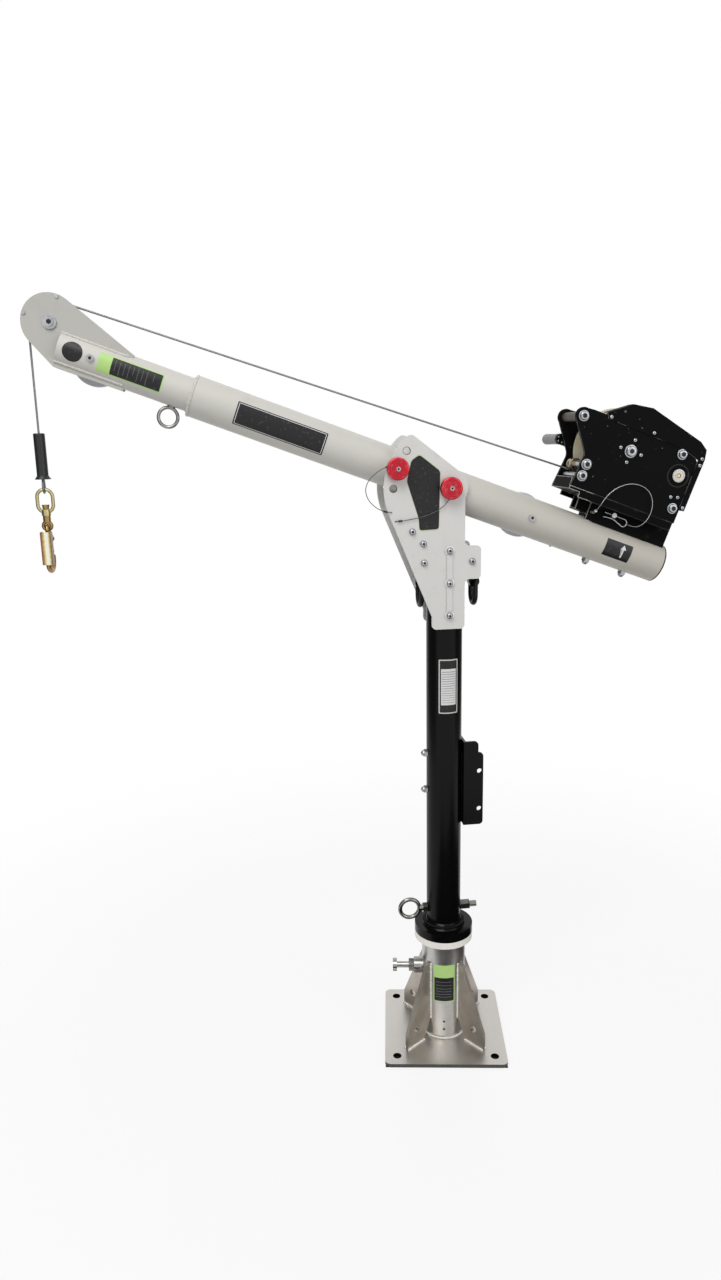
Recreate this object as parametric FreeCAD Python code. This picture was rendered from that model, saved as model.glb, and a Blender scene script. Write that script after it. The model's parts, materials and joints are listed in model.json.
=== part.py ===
import FreeCAD, Part
import math
import os

# A swivelling davit crane: a bolted floor socket, a round mast, and a boom that tilts between two
# hinge plates, with a hand winch at its rear end and a snap hook hanging from the head sheave.
# Millimetres, +Z up. The origin is the middle of the base plate's underside, on the mast's axis.
# The boom lies in the XZ plane with its head towards -X. Boom and winch pieces are drawn with the
# boom level and its pivot at the origin, and are then raised to the boom's index angle.

V = FreeCAD.Vector
os.makedirs("parts", exist_ok=True)

# Floor base
BASE_SIDE = 317.5
BASE_T = 10.0
BASE_CORNER_R = 16.0
ANCHOR_SPACING = 254.0
ANCHOR_HOLE_D = 22.0
SLEEVE_WALL = 6.35
BUSH_WALL = 6.35
SLEEVE_TOP = 287.0
GUSSET_T = 10.0
GUSSET_REACH = 143.0
GUSSET_TOP = 228.0
GUSSET_TOP_W = 12.0
GUSSET_TOE_H = 42.0
GUSSET_RELIEF_W = 26.0
GUSSET_RELIEF_H = 56.0
GUSSET_HOLE_D = 20.0
GUSSET_HOLE_RADIUS = 110.0
GUSSET_HOLE_HEIGHT = 46.0
BUSH_FLANGE_PROUD = 19.05
BUSH_FLANGE_T = 18.0
BUSH_LENGTH = 66.0
LOWER_BUSH_LENGTH = 50.0
BOOM_SWING = 8.95

# Swivel plunger in the sleeve
PLUNGER_Z = 195.0
PLUNGER_D = 16.0
PLUNGER_BOSS_D = 42.0
PLUNGER_BOSS_L = 22.0
PLUNGER_NOSE_D = 32.0
PLUNGER_NOSE_L = 14.0
PLUNGER_CAVITY_D = 26.0
PLUNGER_COLLAR_T = 4.0
PLUNGER_END_WALL = 5.0
PLUNGER_NECK_L = 32.0
PLUNGER_KNOB_D = 34.0
PLUNGER_KNOB_T = 11.0
SPRING_WALL = 2.5

# Fits
RUN_FIT = 0.05
SLIP = 0.3

# Mast
MAST_OD = 88.9
MAST_WALL = 5.0
MAST_FOOT_GAP = 4.0
MAST_TOP = 1350.0
COLLAR_T = 22.0
COLLAR_WELD_H = 14.0
COLLAR_WELD_W = 12.0
COLLAR_WELD_LIP = 0.5
INDEX_HOLES = 4
MAST_EYE_Z = 370.0
MAST_EYE_OUT = 46.55
MAST_EYE_R = 25.5
MAST_EYE_WIRE = 11.0
MAST_EYE_BOLT_D = 16.0
MAST_EYE_NUT_AF = 24.0
MAST_EYE_NUT_T = 12.0
MAST_EYE_TAIL_OUT = 43.55

# Bracket for a fall-arrest device, on the rear of the mast
BRACKET_LOW = 612.0
BRACKET_HIGH = 806.0
BRACKET_OUT = 50.55
BRACKET_HALF_W = 33.0
BRACKET_T = 6.0
BRACKET_ROUND = 10.0
BRACKET_PAD_W = 24.0
BRACKET_TAB_H = 30.0
BRACKET_TAB_OUT = 37.55
BRACKET_HOLE_OUT = 40.55
BRACKET_HOLE_D = 13.0
BRACKET_HOLES_Z = (655.0, 757.0)
BRACKET_BOLTS_Z = (704.0, 802.0)
BRACKET_BOLT_D = 12.0

# Hinge plates at the mast's top
PIVOT_Z = 1469.0
BOOM_SIDE_GAP = 3.0
CHEEK_LEAST_T = 5.55
PLATE_T = 8.0
SECTOR_R = 155.0
HUB_R = 43.5
APEX_ANGLE = 126.0
SECTOR_LOW_ANGLE = 201.0
APEX_ROUND = 14.0
PLATE_FOOT_Z = 1134.0
PLATE_FOOT_X = (-42.0, 37.0)
PLATE_SHANK_Z = 1165.0
PLATE_CORNER_R = 10.0
LUG_OUT = 31.55
LUG_Z = (1254.0, 1333.0)
LUG_BLEND = 8.0
LUG_BLEND_R = 6.0
LUG_ROOT = 5.0
MAST_BOLTS_Z = (1167.0, 1245.0, 1323.0)
MAST_BOLT_D = 10.0
CHEEK_HALF_W = 20.0
CHEEK_Z = (1142.0, 1346.0)
STANDOFFS_OUT = ((44.55, 1370.0), (18.55, 1341.0))
STANDOFF_D = 18.0
RING_BOLTS_Z = 1296.0
RING_BOLTS_OUT = (16.55, 10.55)
RING_EYES_Z = 1240.0
RING_EYES_OUT = (16.55, 27.55)
RING_BOLT_D = 10.0
RING_SLEEVE_D = 20.0
RING_BOSS_D = 26.0
RING_STRAP_T = 24.0
RING_WIRE = 12.0
RING_HALF_W = 24.0
RING_DROP = 54.0
BOLT_HEAD_H = 6.0
BOLT_HEAD_WIDE = 1.6
BOLT_HEAD_CROWN = 1.15
NUT_WIDE = 1.5
WASHER_T = 2.0
WASHER_D = 22.0
STRIP_W = 7.0

# Pins and knobs of the boom hinge
BOOM_RAISE = 20.5
INDEX_STEP = 20.0
LOCK_RADIUS = 133.0
PIVOT_PIN_D = 19.0
LOCK_PIN_D = 16.0
KNOB_D = 52.0
KNOB_T = 15.0
KNOB_HUB_D = 28.0
KNOB_HUB_L = 8.0
KNOB_CLEAR = 0.8
KNOB_EDGE = 2.0
PIN_TAIL = 5.0
STUD_D = 10.0
STUD_OUT = 2.5
CROSS_BUSH_WALL = 5.0
LANYARD_D = 2.0
LANYARD_HOLE_D = 3.4

# Boom tubes, measured from the pivot
BOOM_OD = 94.0
BOOM_WALL = 4.0
BOOM_REAR = 573.0
BOOM_STEP = 613.0
SMALL_OD = 76.2
SMALL_WALL = 4.0
SMALL_FRONT = 918.0
SPIGOT_L = 60.0
STEP_WELD_L = 12.0
STEP_WELD_PROUD = 3.0
END_CAP_T = 4.0
END_PLUG_L = 15.0
END_PLUG_WALL = 6.0
BOOM_EYE_X = -656.0
BOOM_EYE_HANG = 25.4
BOOM_EYE_R = 21.5
BOOM_EYE_WIRE = 8.0
BOOM_EYE_BOLT_D = 12.0
BOOM_EYE_NUT_AF = 19.0
BOOM_EYE_NUT_T = 8.0
BOOM_EYE_TAIL = 2.0

# Boom head and sheave
SHEAVE_X = -948.0
SHEAVE_Z = 43.0
HEAD_R = 60.5
HEAD_GAP = 34.0
HEAD_PLATE_T = 5.0
HEAD_TIP = (-762.0, 38.5)
HEAD_HEEL = (-764.0, -43.0)
HEAD_CHIN = (-916.0, -44.0)
ROPE_D = 4.8
SHEAVE_ROPE_R = 49.0
SHEAVE_W = 26.0
SHEAVE_RIM = 51.5
SHEAVE_GROOVE_W = 14.0
SHEAVE_GROOVE_WALL = 3.0
SHEAVE_RIM_DEPTH = 10.0
SHEAVE_HUB_WALL = 8.0
SHEAVE_HUB_TAPER = 2.0
SHEAVE_RIM_TAPER = 3.0
AXLE_D = 16.0
AXLE_FLANGE_D = 30.0
AXLE_FLANGE_T = 4.0
AXLE_CAP_D = 18.0
AXLE_CAP_T = 4.0
GUARD_PIN_D = 6.0
GUARD_PIN_R = 55.8
GUARD_HEAD_D = 9.0
GUARD_HEAD_T = 2.0

# White line pulleys on the boom's far side
LINE_PULLEYS_X = {"front": -845.0, "rear": 216.0}
LINE_PULLEY_R = 55.0
LINE_PULLEY_W = 18.0
LINE_PULLEY_CLEAR = 5.0
LINE_GROOVE_DEPTH = 7.0
LINE_GROOVE_FLAT = 4.0
LINE_RIM_W = 3.0
LINE_RIM_EDGE = 1.0
LINE_AXLE_D = 14.0
LINE_HEAD_D = 16.0
LINE_HEAD_T = 4.0
LINE_SPACER_D = 26.0
LINE_COPE_L = 60.0
LINE_NUT_AF = 22.0
LINE_NUT_T = 8.0

# Winch rail on the boom's rear top
RAIL_X = (349.0, 565.0)
RAIL_FLOOR_T = 8.0
RAIL_DEPTH = 29.0
RAIL_WALL = 7.0
RAIL_SKIRT_DROP = 11.0
RAIL_BOLTS_X = (400.0, 501.0)
RAIL_BOLT_D = 12.0
DOME_NUT_AF = 18.0
DOME_NUT_T = 9.0
DOME_SHARE = 0.45
NUT_SADDLE = 2.0
FOOT_BAR = 38.1
FOOT_BAR_WALL = 4.0
FOOT_BAR_X = (318.0, 548.0)
FOOT_PLATE_T = 8.0
FOOT_PLATE_X = (298.0, 547.0)
FOOT_LIP_H = 12.0
CROSSBAR_X = (270.0, 298.0)
CROSSBAR_H = 20.0
HITCH_X = 412.0
HITCH_H = 17.0
HITCH_D = 12.0
HITCH_OUT = 12.0
HITCH_HEAD_D = 20.0
HITCH_HEAD_T = 6.0
CLIP_WIRE = 3.2
CLIP_LEG_FRONT = 24.0
CLIP_LEG_REAR = 30.0
CLIP_RING_R = 9.0

# Winch case, with heights above the deck of its foot
CASE_GAP = 112.0
CASE_PLATE_T = 6.0
LOBE_X = 240.5
LOBE_H = 157.5
LOBE_R = 20.0
LOBE_LOW_TOUCH = (0.9, 0.4)
LOBE_HIGH_TOUCH = (0.35, 0.93)
CASE_H = 178.9
CASE_REAR = 550.0
CASE_FRONT = 277.0
CASE_SHOULDER = 30.0
CASE_SHOULDER_R = 8.0
CASE_WAIST_R = 24.0
CASE_TOE_R = 20.0
CASE_TOE_SET = 4.0
CASE_WAIST_H = 77.1
ROLLER_D = 22.0
GUIDE_X = 289.0
GUIDES_H = (57.1, 29.3)
GUIDE_ROLLER_D = 16.0
GUIDE_ROLLER_L = 76.0
ROD_D = 10.0
REAR_RODS_H = ((504.0, 156.9), (532.0, 31.9))
ROD_HEAD_D = 20.0
ROD_HEAD_T = 7.0
ROD_HEAD_CROWN = 0.8
COVER_DEPTH = 26.0
COVER_T = 2.0
COVER_TOP_H = (
    (293.0, 185.9), (343.0, 221.9), (393.0, 229.9), (536.0, 198.9),
    (557.0, 185.9), (562.0, 163.9), (562.0, 34.9),
)
COVER_SEAM_H = ((548.0, 34.9), (546.0, 156.9), (500.0, 168.9), (298.0, 170.9))

# Winch works
DRUM_X = 380.0
DRUM_H = 120.9
DRUM_SHAFT_D = 24.0
DRUM_FLANGE_R = 102.0
DRUM_FLANGE_T = 3.0
DRUM_HUB_D = 44.0
DRUM_WALL = 14.0
DRUM_WEB = 12.0
DRUM_Y = (-31.0, 41.0)
WIND_R = 75.0
TURN_GAP = 0.6
MOST_TURNS = 24
CHECK_POINTS = 60
GEAR_MODULE = 2.5
GEAR_TEETH = 78
GEAR_W = 12.0
GEAR_Y = -52.0
GEAR_BACKLASH = 0.5
GEAR_PRESSURE = math.radians(20)
GEAR_TIP = 0.95
GEAR_ROOT = 1.25
GEAR_FOOT_SPREAD = 0.1
FLANK_STEPS = 3
PINION_TEETH = 30
PINION_ANGLE = -5.65
PINION_SHAFT_D = 20.0
BEARING_D = 31.0
BEARING_PROUD = 3.0
RATCHET_R = 30.0
RATCHET_TEETH = 12
RATCHET_DEPTH = 5.0
RATCHET_W = 6.0
RATCHET_RAKE = 0.12
RATCHET_Y = 46.0
PAWL_PIVOT_X = 470.0
PAWL_PIVOT_H = 65.9
PAWL_TIP_X = 519.5
PAWL_TIP_H = 70.9
PAWL_STUD_D = 8.0
PAWL_HUB_D = 18.0
PAWL_TIP_D = 8.0
PAWL_ARM_W = 14.4
CRANK_Y = 74.0
CRANK_T = 11.0
CRANK_W = 26.0
CRANK_R = 259.0
CRANK_HUB_D = 44.0
CRANK_NUT_AF = 30.0
CRANK_NUT_T = 8.0
GRIP_D = 27.0
GRIP_L = 100.0
GRIP_PIN_D = 12.0
GRIP_CAP_D = 19.2
GRIP_CAP_T = 3.0
GRIP_EDGE = 3.0
GRIP_WAIST_D = 25.38
GRIP_WAIST_AT = 40.0
GRIP_END_BAND = 12.0

# Load line, hanging plumb from the sheave
ROPE_DROP_L = 232.2735
STOP_LENGTH = 101.0
STOP_D = 25.0
STOP_FLARE_D = 36.0
STOP_FLARE_H = 8.0
STOP_EDGE_R = 3.0
EYE_R = 8.5
EYE_DROP = 21.0
LINK_W = 34.0
LINK_SEAT = 1.5
LINK_L = 51.5
LINK_WIRE = 8.0
LINK_BOSS_D = 20.0
LINK_BOSS_H = 14.0
SWIVEL_BOLT_D = 10.0
SWIVEL_HEAD_D = 17.0
SWIVEL_HEAD_T = 10.0
SWIVEL_HEAD_LOW_D = 13.6
SWIVEL_NECK_L = 14.0
CHAIN_EYE_R = 9.0
SWIVEL_EYE_WIRE = 8.0
HOOK_EYE_WIRE = 8.6
HOOK_WIRE = 13.0
HOOK_BOWL_R = 24.0
HOOK_BOWL_DROP = 108.0
HOOK_SPINE_L = 44.0
HOOK_NOSE_H = 5.0
GATE_D = 9.0
GATE_BAR_D = 8.0
GATE_PIVOT_Y = 15.0
GATE_PIVOT_H = 47.0
GATE_PIN_D = 5.0
GATE_EAR_D = 11.0
GATE_EAR_T = 2.5
GATE_GAP = 0.9
HOOK_NECK_D = 11.7
HOOK_STEM_D = 9.36
HOOK_NECK_DROP = 3.0
LEVER_W = 23.0
LEVER_T = 2.0
LEVER_H = (-8.0, 66.0)
LEVER_DEPTH = 20.0

# Sizes that follow from those above
MAST_R = MAST_OD / 2
SLEEVE_BORE_R = MAST_R + BUSH_WALL
SLEEVE_R = SLEEVE_BORE_R + SLEEVE_WALL
SLEEVE_OD = 2 * SLEEVE_R
BUSH_FLANGE_OD = SLEEVE_OD + 2 * BUSH_FLANGE_PROUD
COLLAR_LOW = SLEEVE_TOP + BUSH_FLANGE_T
MAST_EYE_REACH = MAST_R + MAST_EYE_OUT
MAST_EYE_TAIL = MAST_R + MAST_EYE_TAIL_OUT
BRACKET_DEPTH = MAST_R + BRACKET_OUT
BRACKET_TAB_DEPTH = MAST_R + BRACKET_TAB_OUT
BRACKET_HOLE_X = MAST_R + BRACKET_HOLE_OUT
LUG_X = MAST_R + LUG_OUT
STANDOFFS = tuple((-MAST_R - out, z) for out, z in STANDOFFS_OUT)
RING_BOLTS = ((-MAST_R - RING_BOLTS_OUT[0], RING_BOLTS_Z), (MAST_R + RING_BOLTS_OUT[1], RING_BOLTS_Z))
RING_EYES = ((-MAST_R - RING_EYES_OUT[0], RING_EYES_Z), (MAST_R + RING_EYES_OUT[1], RING_EYES_Z))
BOOM_R = BOOM_OD / 2
SMALL_R = SMALL_OD / 2
BOOM_EYE_DROP = SMALL_R + BOOM_EYE_HANG
ROPE_R = ROPE_D / 2
PLATE_GAP = max(BOOM_OD + 2 * BOOM_SIDE_GAP, MAST_OD + 2 * CHEEK_LEAST_T)
PLATE_IN = PLATE_GAP / 2
PLATE_OUT = PLATE_IN + PLATE_T
HEAD_IN = HEAD_GAP / 2
HEAD_OUT = HEAD_IN + HEAD_PLATE_T
CASE_IN = CASE_GAP / 2
CASE_OUT = CASE_IN + CASE_PLATE_T
LINE_PULLEY_Y = BOOM_R + LINE_PULLEY_CLEAR
RAIL_FLOOR = BOOM_R + RAIL_FLOOR_T
RAIL_TOP = RAIL_FLOOR + RAIL_DEPTH
RAIL_SKIRT = BOOM_R - RAIL_SKIRT_DROP
BAR_TOP = RAIL_FLOOR + FOOT_BAR
FOOT_TOP = BAR_TOP + FOOT_PLATE_T
HITCH_Z = RAIL_FLOOR + HITCH_H
LOBE = (LOBE_X, FOOT_TOP + LOBE_H)
CASE_TOP = FOOT_TOP + CASE_H
CASE_WAIST_Z = FOOT_TOP + CASE_WAIST_H
GUIDES_Z = tuple(FOOT_TOP + h for h in GUIDES_H)
REAR_RODS = tuple((x, FOOT_TOP + h) for x, h in REAR_RODS_H)
COVER_TOP = tuple((x, FOOT_TOP + h) for x, h in COVER_TOP_H)
COVER_SEAM = tuple((x, FOOT_TOP + h) for x, h in COVER_SEAM_H)
DRUM_Z = FOOT_TOP + DRUM_H
PAWL_PIVOT = (PAWL_PIVOT_X, FOOT_TOP + PAWL_PIVOT_H)
PAWL_TIP = (PAWL_TIP_X, FOOT_TOP + PAWL_TIP_H)
RAIL_IN = FOOT_BAR / 2
RAIL_OUT = RAIL_IN + RAIL_WALL
CLIP_Y = -RAIL_OUT - HITCH_OUT / 2
GEAR_R = GEAR_MODULE * GEAR_TEETH / 2
PINION_R = GEAR_MODULE * PINION_TEETH / 2
PINION_X = DRUM_X + (GEAR_R + PINION_R) * math.cos(math.radians(PINION_ANGLE))
PINION_Z = DRUM_Z + (GEAR_R + PINION_R) * math.sin(math.radians(PINION_ANGLE))
RAISE = math.radians(BOOM_RAISE)
SHEAVE_WORLD_X = SHEAVE_X * math.cos(RAISE) + SHEAVE_Z * math.sin(RAISE)
SHEAVE_WORLD_Z = PIVOT_Z - SHEAVE_X * math.sin(RAISE) + SHEAVE_Z * math.cos(RAISE)
LINE_X = SHEAVE_WORLD_X - SHEAVE_ROPE_R
SLEEVE_TOP_Z = SHEAVE_WORLD_Z - ROPE_DROP_L
EYE_Z = SLEEVE_TOP_Z - STOP_LENGTH - EYE_DROP
LINK_TOP_Z = EYE_Z - LINK_SEAT
LINK_LOW_Z = LINK_TOP_Z - LINK_L
HOOK_BOWL_Z = LINK_LOW_Z - HOOK_BOWL_DROP
HOOK_SHOULDER_Z = HOOK_BOWL_Z + HOOK_SPINE_L
HOOK_NOSE_Z = HOOK_BOWL_Z + HOOK_NOSE_H
GATE_PIVOT = (GATE_PIVOT_Y, HOOK_BOWL_Z + GATE_PIVOT_H)
LEVER_Z = (HOOK_BOWL_Z + LEVER_H[0], HOOK_BOWL_Z + LEVER_H[1])
ARC_SHARE = 0.45
LAP = 1.0


def bar(p, q, d):
    """Round bar of diameter d between two points."""
    a = V(*p)
    run = V(*q) - a
    return Part.makeCylinder(d / 2, run.Length, a, run)


def tube(p, q, outer, inner):
    """Round tube between two points."""
    return bar(p, q, outer).cut(bar(p, q, inner))


def cone(p, q, d0, d1):
    """Round taper between two points."""
    a = V(*p)
    run = V(*q) - a
    return Part.makeCone(d0 / 2, d1 / 2, run.Length, a, run)


def block(x, y, z):
    """Box between two values on each axis."""
    return Part.makeBox(x[1] - x[0], y[1] - y[0], z[1] - z[0], V(x[0], y[0], z[0]))


def ball(p, d):
    return Part.makeSphere(d / 2, V(*p))


def loop(p, axis, radius, wire):
    """Round ring of the given wire thickness."""
    return Part.makeTorus(radius, wire / 2, V(*p), V(*axis))


def hexagon(p, q, flats):
    """Hexagonal bar between two points, such as a nut."""
    a = V(*p)
    run = V(*q) - a
    side = V(0, 0, 1) if abs(run.z) < run.Length / 2 else V(1, 0, 0)
    other = run.cross(side)
    other.normalize()
    corner = flats / math.sqrt(3)
    ring = []
    for k in range(7):
        t = math.radians(60 * k)
        ring.append(a + side * (corner * math.cos(t)) + other * (corner * math.sin(t)))
    return Part.Face(Part.makePolygon(ring)).extrude(run)


def join(*shapes):
    """One solid from pieces that overlap or touch."""
    whole = shapes[0]
    for s in shapes[1:]:
        whole = whole.fuse(s)
    return whole.removeSplitter()


def group(shapes):
    """Separate solids kept in one node."""
    return Part.makeCompound([solid for s in shapes for solid in s.Solids])


def outline(corners):
    """Face in the XZ plane from corners (x, z, round)."""
    points = [V(x, 0, z) for x, z, r in corners]
    count = len(corners)
    ends = []
    edges = []
    for k, (x, z, r) in enumerate(corners):
        p = points[k]
        back = points[k - 1] - p
        ahead = points[(k + 1) % count] - p
        back.normalize()
        ahead.normalize()
        if r == 0:
            ends.append((p, p))
            continue
        half = back.getAngle(ahead) / 2
        reach = r / math.tan(half)
        middle = back + ahead
        middle.normalize()
        centre = p + middle * (r / math.sin(half))
        first = p + back * reach
        last = p + ahead * reach
        edges.append(Part.Arc(first, centre - middle * r, last).toShape())
        ends.append((first, last))
    for k in range(count):
        start = ends[k][1]
        stop = ends[(k + 1) % count][0]
        if (stop - start).Length > 0.001:
            edges.append(Part.makeLine(start, stop))
    return Part.Face(Part.Wire(Part.__sortEdges__(edges)))


def sheet(corners, y):
    """Plate with that outline between two Y values."""
    face = outline(corners)
    face.translate(V(0, y[0], 0))
    return face.extrude(V(0, y[1] - y[0], 0))


def disc(centre, r, y):
    """Round plate about a Y axis."""
    return Part.makeCylinder(r, y[1] - y[0], V(centre[0], y[0], centre[1]), V(0, 1, 0))


def turned(profile, centre):
    """Solid of revolution about a Y axis from (Y, radius) points."""
    ring = [V(r, a, 0) for a, r in profile]
    face = Part.Face(Part.makePolygon(ring + [ring[0]]))
    solid = face.revolve(V(0, 0, 0), V(0, 1, 0), 360)
    solid.translate(V(centre[0], 0, centre[1]))
    return solid


def tangent(point, centre, r, side):
    """Where a line from point touches a circle in the XZ plane, +1 on its left side or -1 on its right."""
    dx = centre[0] - point[0]
    dz = centre[1] - point[1]
    far = math.hypot(dx, dz)
    a = math.atan2(dz, dx) + side * math.asin(r / far)
    reach = math.sqrt(far * far - r * r)
    return point[0] + reach * math.cos(a), point[1] + reach * math.sin(a)


def on_base(shape):
    """Turns a floor piece back from the boom's direction."""
    moved = shape.copy()
    moved.rotate(V(0, 0, 0), V(0, 0, 1), -BOOM_SWING)
    return moved


def on_boom(shape):
    """Raises a level boom piece to its index angle at the pivot."""
    moved = shape.copy()
    moved.rotate(V(0, 0, 0), V(0, 1, 0), BOOM_RAISE)
    moved.translate(V(0, 0, PIVOT_Z))
    return moved


def cap_screw(x, z, y, out, d, length):
    """Button-headed bolt in a plate whose outer face is at y; out is -1 near or +1 far."""
    head = cone((x, y, z), (x, y + out * BOLT_HEAD_H, z), d * BOLT_HEAD_WIDE, d * BOLT_HEAD_CROWN)
    return join(head, bar((x, y, z), (x, y - out * length, z), d))


def rounded_path(route):
    """Straight runs through the points, joined by arcs as large as the runs allow, and their radii."""
    edges = []
    radii = []
    start = route[0]
    for before, p, after in zip(route, route[1:], route[2:]):
        back = before - p
        ahead = after - p
        reach = ARC_SHARE * min(back.Length, ahead.Length)
        back.normalize()
        ahead.normalize()
        half = back.getAngle(ahead) / 2
        r = reach * math.tan(half)
        middle = back + ahead
        middle.normalize()
        first = p + back * reach
        last = p + ahead * reach
        centre = p + middle * math.hypot(r, reach)
        edges.append(Part.makeLine(start, first))
        edges.append(Part.Arc(first, centre - middle * r, last).toShape())
        radii.append(round(r, 1))
        start = last
    edges.append(Part.makeLine(start, route[-1]))
    return edges, radii


def pipe(edges, d, way):
    """Round wire along joined edges, and its length; way is its direction at the start."""
    wire = Part.Wire(edges)
    circle = Part.Wire(Part.makeCircle(d / 2, wire.Edges[0].firstVertex().Point, way))
    return wire.makePipeShell([circle], True, False), wire.Length


def cord(name, points, d):
    """Tube along a cord's route."""
    route = [V(*p) for p in points]
    edges, radii = rounded_path(route)
    solid, length = pipe(edges, d, route[1] - route[0])
    ratio = solid.Volume / (math.pi * d * d / 4 * length)
    print(name, "radii", radii, "length", round(length, 1), "volume ratio", round(ratio, 4))
    return solid


# Floor base: plate, socket sleeve, gussets and bushes

def base_plate():
    half = BASE_SIDE / 2
    plate = block((-half, half), (-half, half), (0, BASE_T))
    upright = [e for e in plate.Edges if abs(e.BoundBox.ZLength - BASE_T) < RUN_FIT]
    plate = plate.makeFillet(BASE_CORNER_R, upright)
    for x in (-1, 1):
        for y in (-1, 1):
            at = (x * ANCHOR_SPACING / 2, y * ANCHOR_SPACING / 2)
            plate = plate.cut(bar((*at, 0), (*at, BASE_T), ANCHOR_HOLE_D))
    return on_base(plate)


def base_sleeve():
    sleeve = tube((0, 0, BASE_T), (0, 0, SLEEVE_TOP), SLEEVE_OD, 2 * SLEEVE_BORE_R)
    hole = bar((0, 0, PLUNGER_Z), (-SLEEVE_OD, 0, PLUNGER_Z), PLUNGER_D + 2 * RUN_FIT)
    return on_base(sleeve.cut(hole))


def gussets():
    inner = SLEEVE_R
    top_out = inner + GUSSET_TOP_W
    corners = [
        (inner + GUSSET_RELIEF_W, BASE_T, 0),
        (GUSSET_REACH, BASE_T, 0),
        (GUSSET_REACH, BASE_T + GUSSET_TOE_H, 0),
        (top_out, GUSSET_TOP - GUSSET_TOP_W / 2, 0),
        (inner + GUSSET_TOP_W / 3, GUSSET_TOP, 0),
        (inner - LAP, GUSSET_TOP, 0),
        (inner - LAP, BASE_T + GUSSET_RELIEF_H, 0),
    ]
    web = sheet(corners, (-GUSSET_T / 2, GUSSET_T / 2))
    hole = (GUSSET_HOLE_RADIUS, BASE_T + GUSSET_HOLE_HEIGHT)
    web = web.cut(disc(hole, GUSSET_HOLE_D / 2, (-GUSSET_T, GUSSET_T)))
    web = web.cut(bar((0, 0, 0), (0, 0, SLEEVE_TOP), SLEEVE_OD))
    webs = []
    for k in range(4):
        turn = web.copy()
        turn.rotate(V(0, 0, 0), V(0, 0, 1), 45 + 90 * k)
        webs.append(on_base(turn))
    return group(webs)


def mast_bushes():
    bore = MAST_OD + 2 * RUN_FIT
    upper = tube((0, 0, SLEEVE_TOP - BUSH_LENGTH), (0, 0, SLEEVE_TOP), 2 * SLEEVE_BORE_R, bore)
    flange = tube((0, 0, SLEEVE_TOP), (0, 0, COLLAR_LOW - RUN_FIT), BUSH_FLANGE_OD, bore)
    lower = tube((0, 0, BASE_T), (0, 0, BASE_T + LOWER_BUSH_LENGTH), 2 * SLEEVE_BORE_R, bore)
    return group([join(upper, flange), lower])


def plunger_places():
    """X positions along the plunger, outwards from the sleeve."""
    boss = -SLEEVE_R - PLUNGER_BOSS_L
    nose = boss - PLUNGER_NOSE_L
    return boss, nose, nose - PLUNGER_NECK_L


def plunger_housing():
    boss, nose, knob = plunger_places()
    z = PLUNGER_Z
    body = join(
        bar((-SLEEVE_BORE_R, 0, z), (boss, 0, z), PLUNGER_BOSS_D),
        hexagon((boss, 0, z), (nose, 0, z), PLUNGER_NOSE_D),
    )
    body = body.cut(bar((0, 0, 0), (0, 0, SLEEVE_TOP), SLEEVE_OD))
    body = body.cut(bar((0, 0, z), (nose, 0, z), PLUNGER_D + 2 * RUN_FIT))
    return on_base(body.cut(bar((0, 0, z), (nose + PLUNGER_END_WALL, 0, z), PLUNGER_CAVITY_D)))


def plunger_pin():
    boss, nose, knob = plunger_places()
    z = PLUNGER_Z
    tip = -MAST_R - SLIP
    collar = -SLEEVE_R - SLIP
    return on_base(join(
        bar((tip, 0, z), (knob, 0, z), PLUNGER_D),
        bar((collar, 0, z), (collar - PLUNGER_COLLAR_T, 0, z), PLUNGER_CAVITY_D - 2 * SLIP),
        bar((knob, 0, z), (knob - PLUNGER_KNOB_T, 0, z), PLUNGER_KNOB_D),
    ))


def plunger_spring():
    boss, nose, knob = plunger_places()
    near = -SLEEVE_R - SLIP - PLUNGER_COLLAR_T
    far = nose + PLUNGER_END_WALL
    inner = PLUNGER_D + 2 * SLIP
    return on_base(tube((near, 0, PLUNGER_Z), (far, 0, PLUNGER_Z), inner + 2 * SPRING_WALL, inner))


# Mast and what is fixed to it

def mast_tube():
    low = BASE_T + MAST_FOOT_GAP
    mast = tube((0, 0, low), (0, 0, MAST_TOP), MAST_OD, MAST_OD - 2 * MAST_WALL)
    for k in range(INDEX_HOLES):
        t = 2 * math.pi * k / INDEX_HOLES
        way = (MAST_OD * math.cos(t), MAST_OD * math.sin(t), PLUNGER_Z)
        mast = mast.cut(bar((0, 0, PLUNGER_Z), way, PLUNGER_D + 2 * SLIP))
    mast = mast.cut(bar((-MAST_OD, 0, MAST_EYE_Z), (MAST_OD, 0, MAST_EYE_Z), MAST_EYE_BOLT_D))
    for z in BRACKET_BOLTS_Z:
        mast = mast.cut(bar((-MAST_OD, 0, z), (MAST_OD, 0, z), BRACKET_BOLT_D))
    for z in MAST_BOLTS_Z:
        mast = mast.cut(bar((0, -MAST_OD, z), (0, MAST_OD, z), MAST_BOLT_D))
    return mast


def mast_collar():
    ring = bar((0, 0, COLLAR_LOW), (0, 0, COLLAR_LOW + COLLAR_T), BUSH_FLANGE_OD)
    weld_low = COLLAR_LOW + COLLAR_T
    wide = MAST_OD + 2 * COLLAR_WELD_W
    weld = cone((0, 0, weld_low), (0, 0, weld_low + COLLAR_WELD_H), wide, MAST_OD + 2 * COLLAR_WELD_LIP)
    return join(ring, weld).cut(bar((0, 0, 0), (0, 0, MAST_TOP), MAST_OD))


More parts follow.
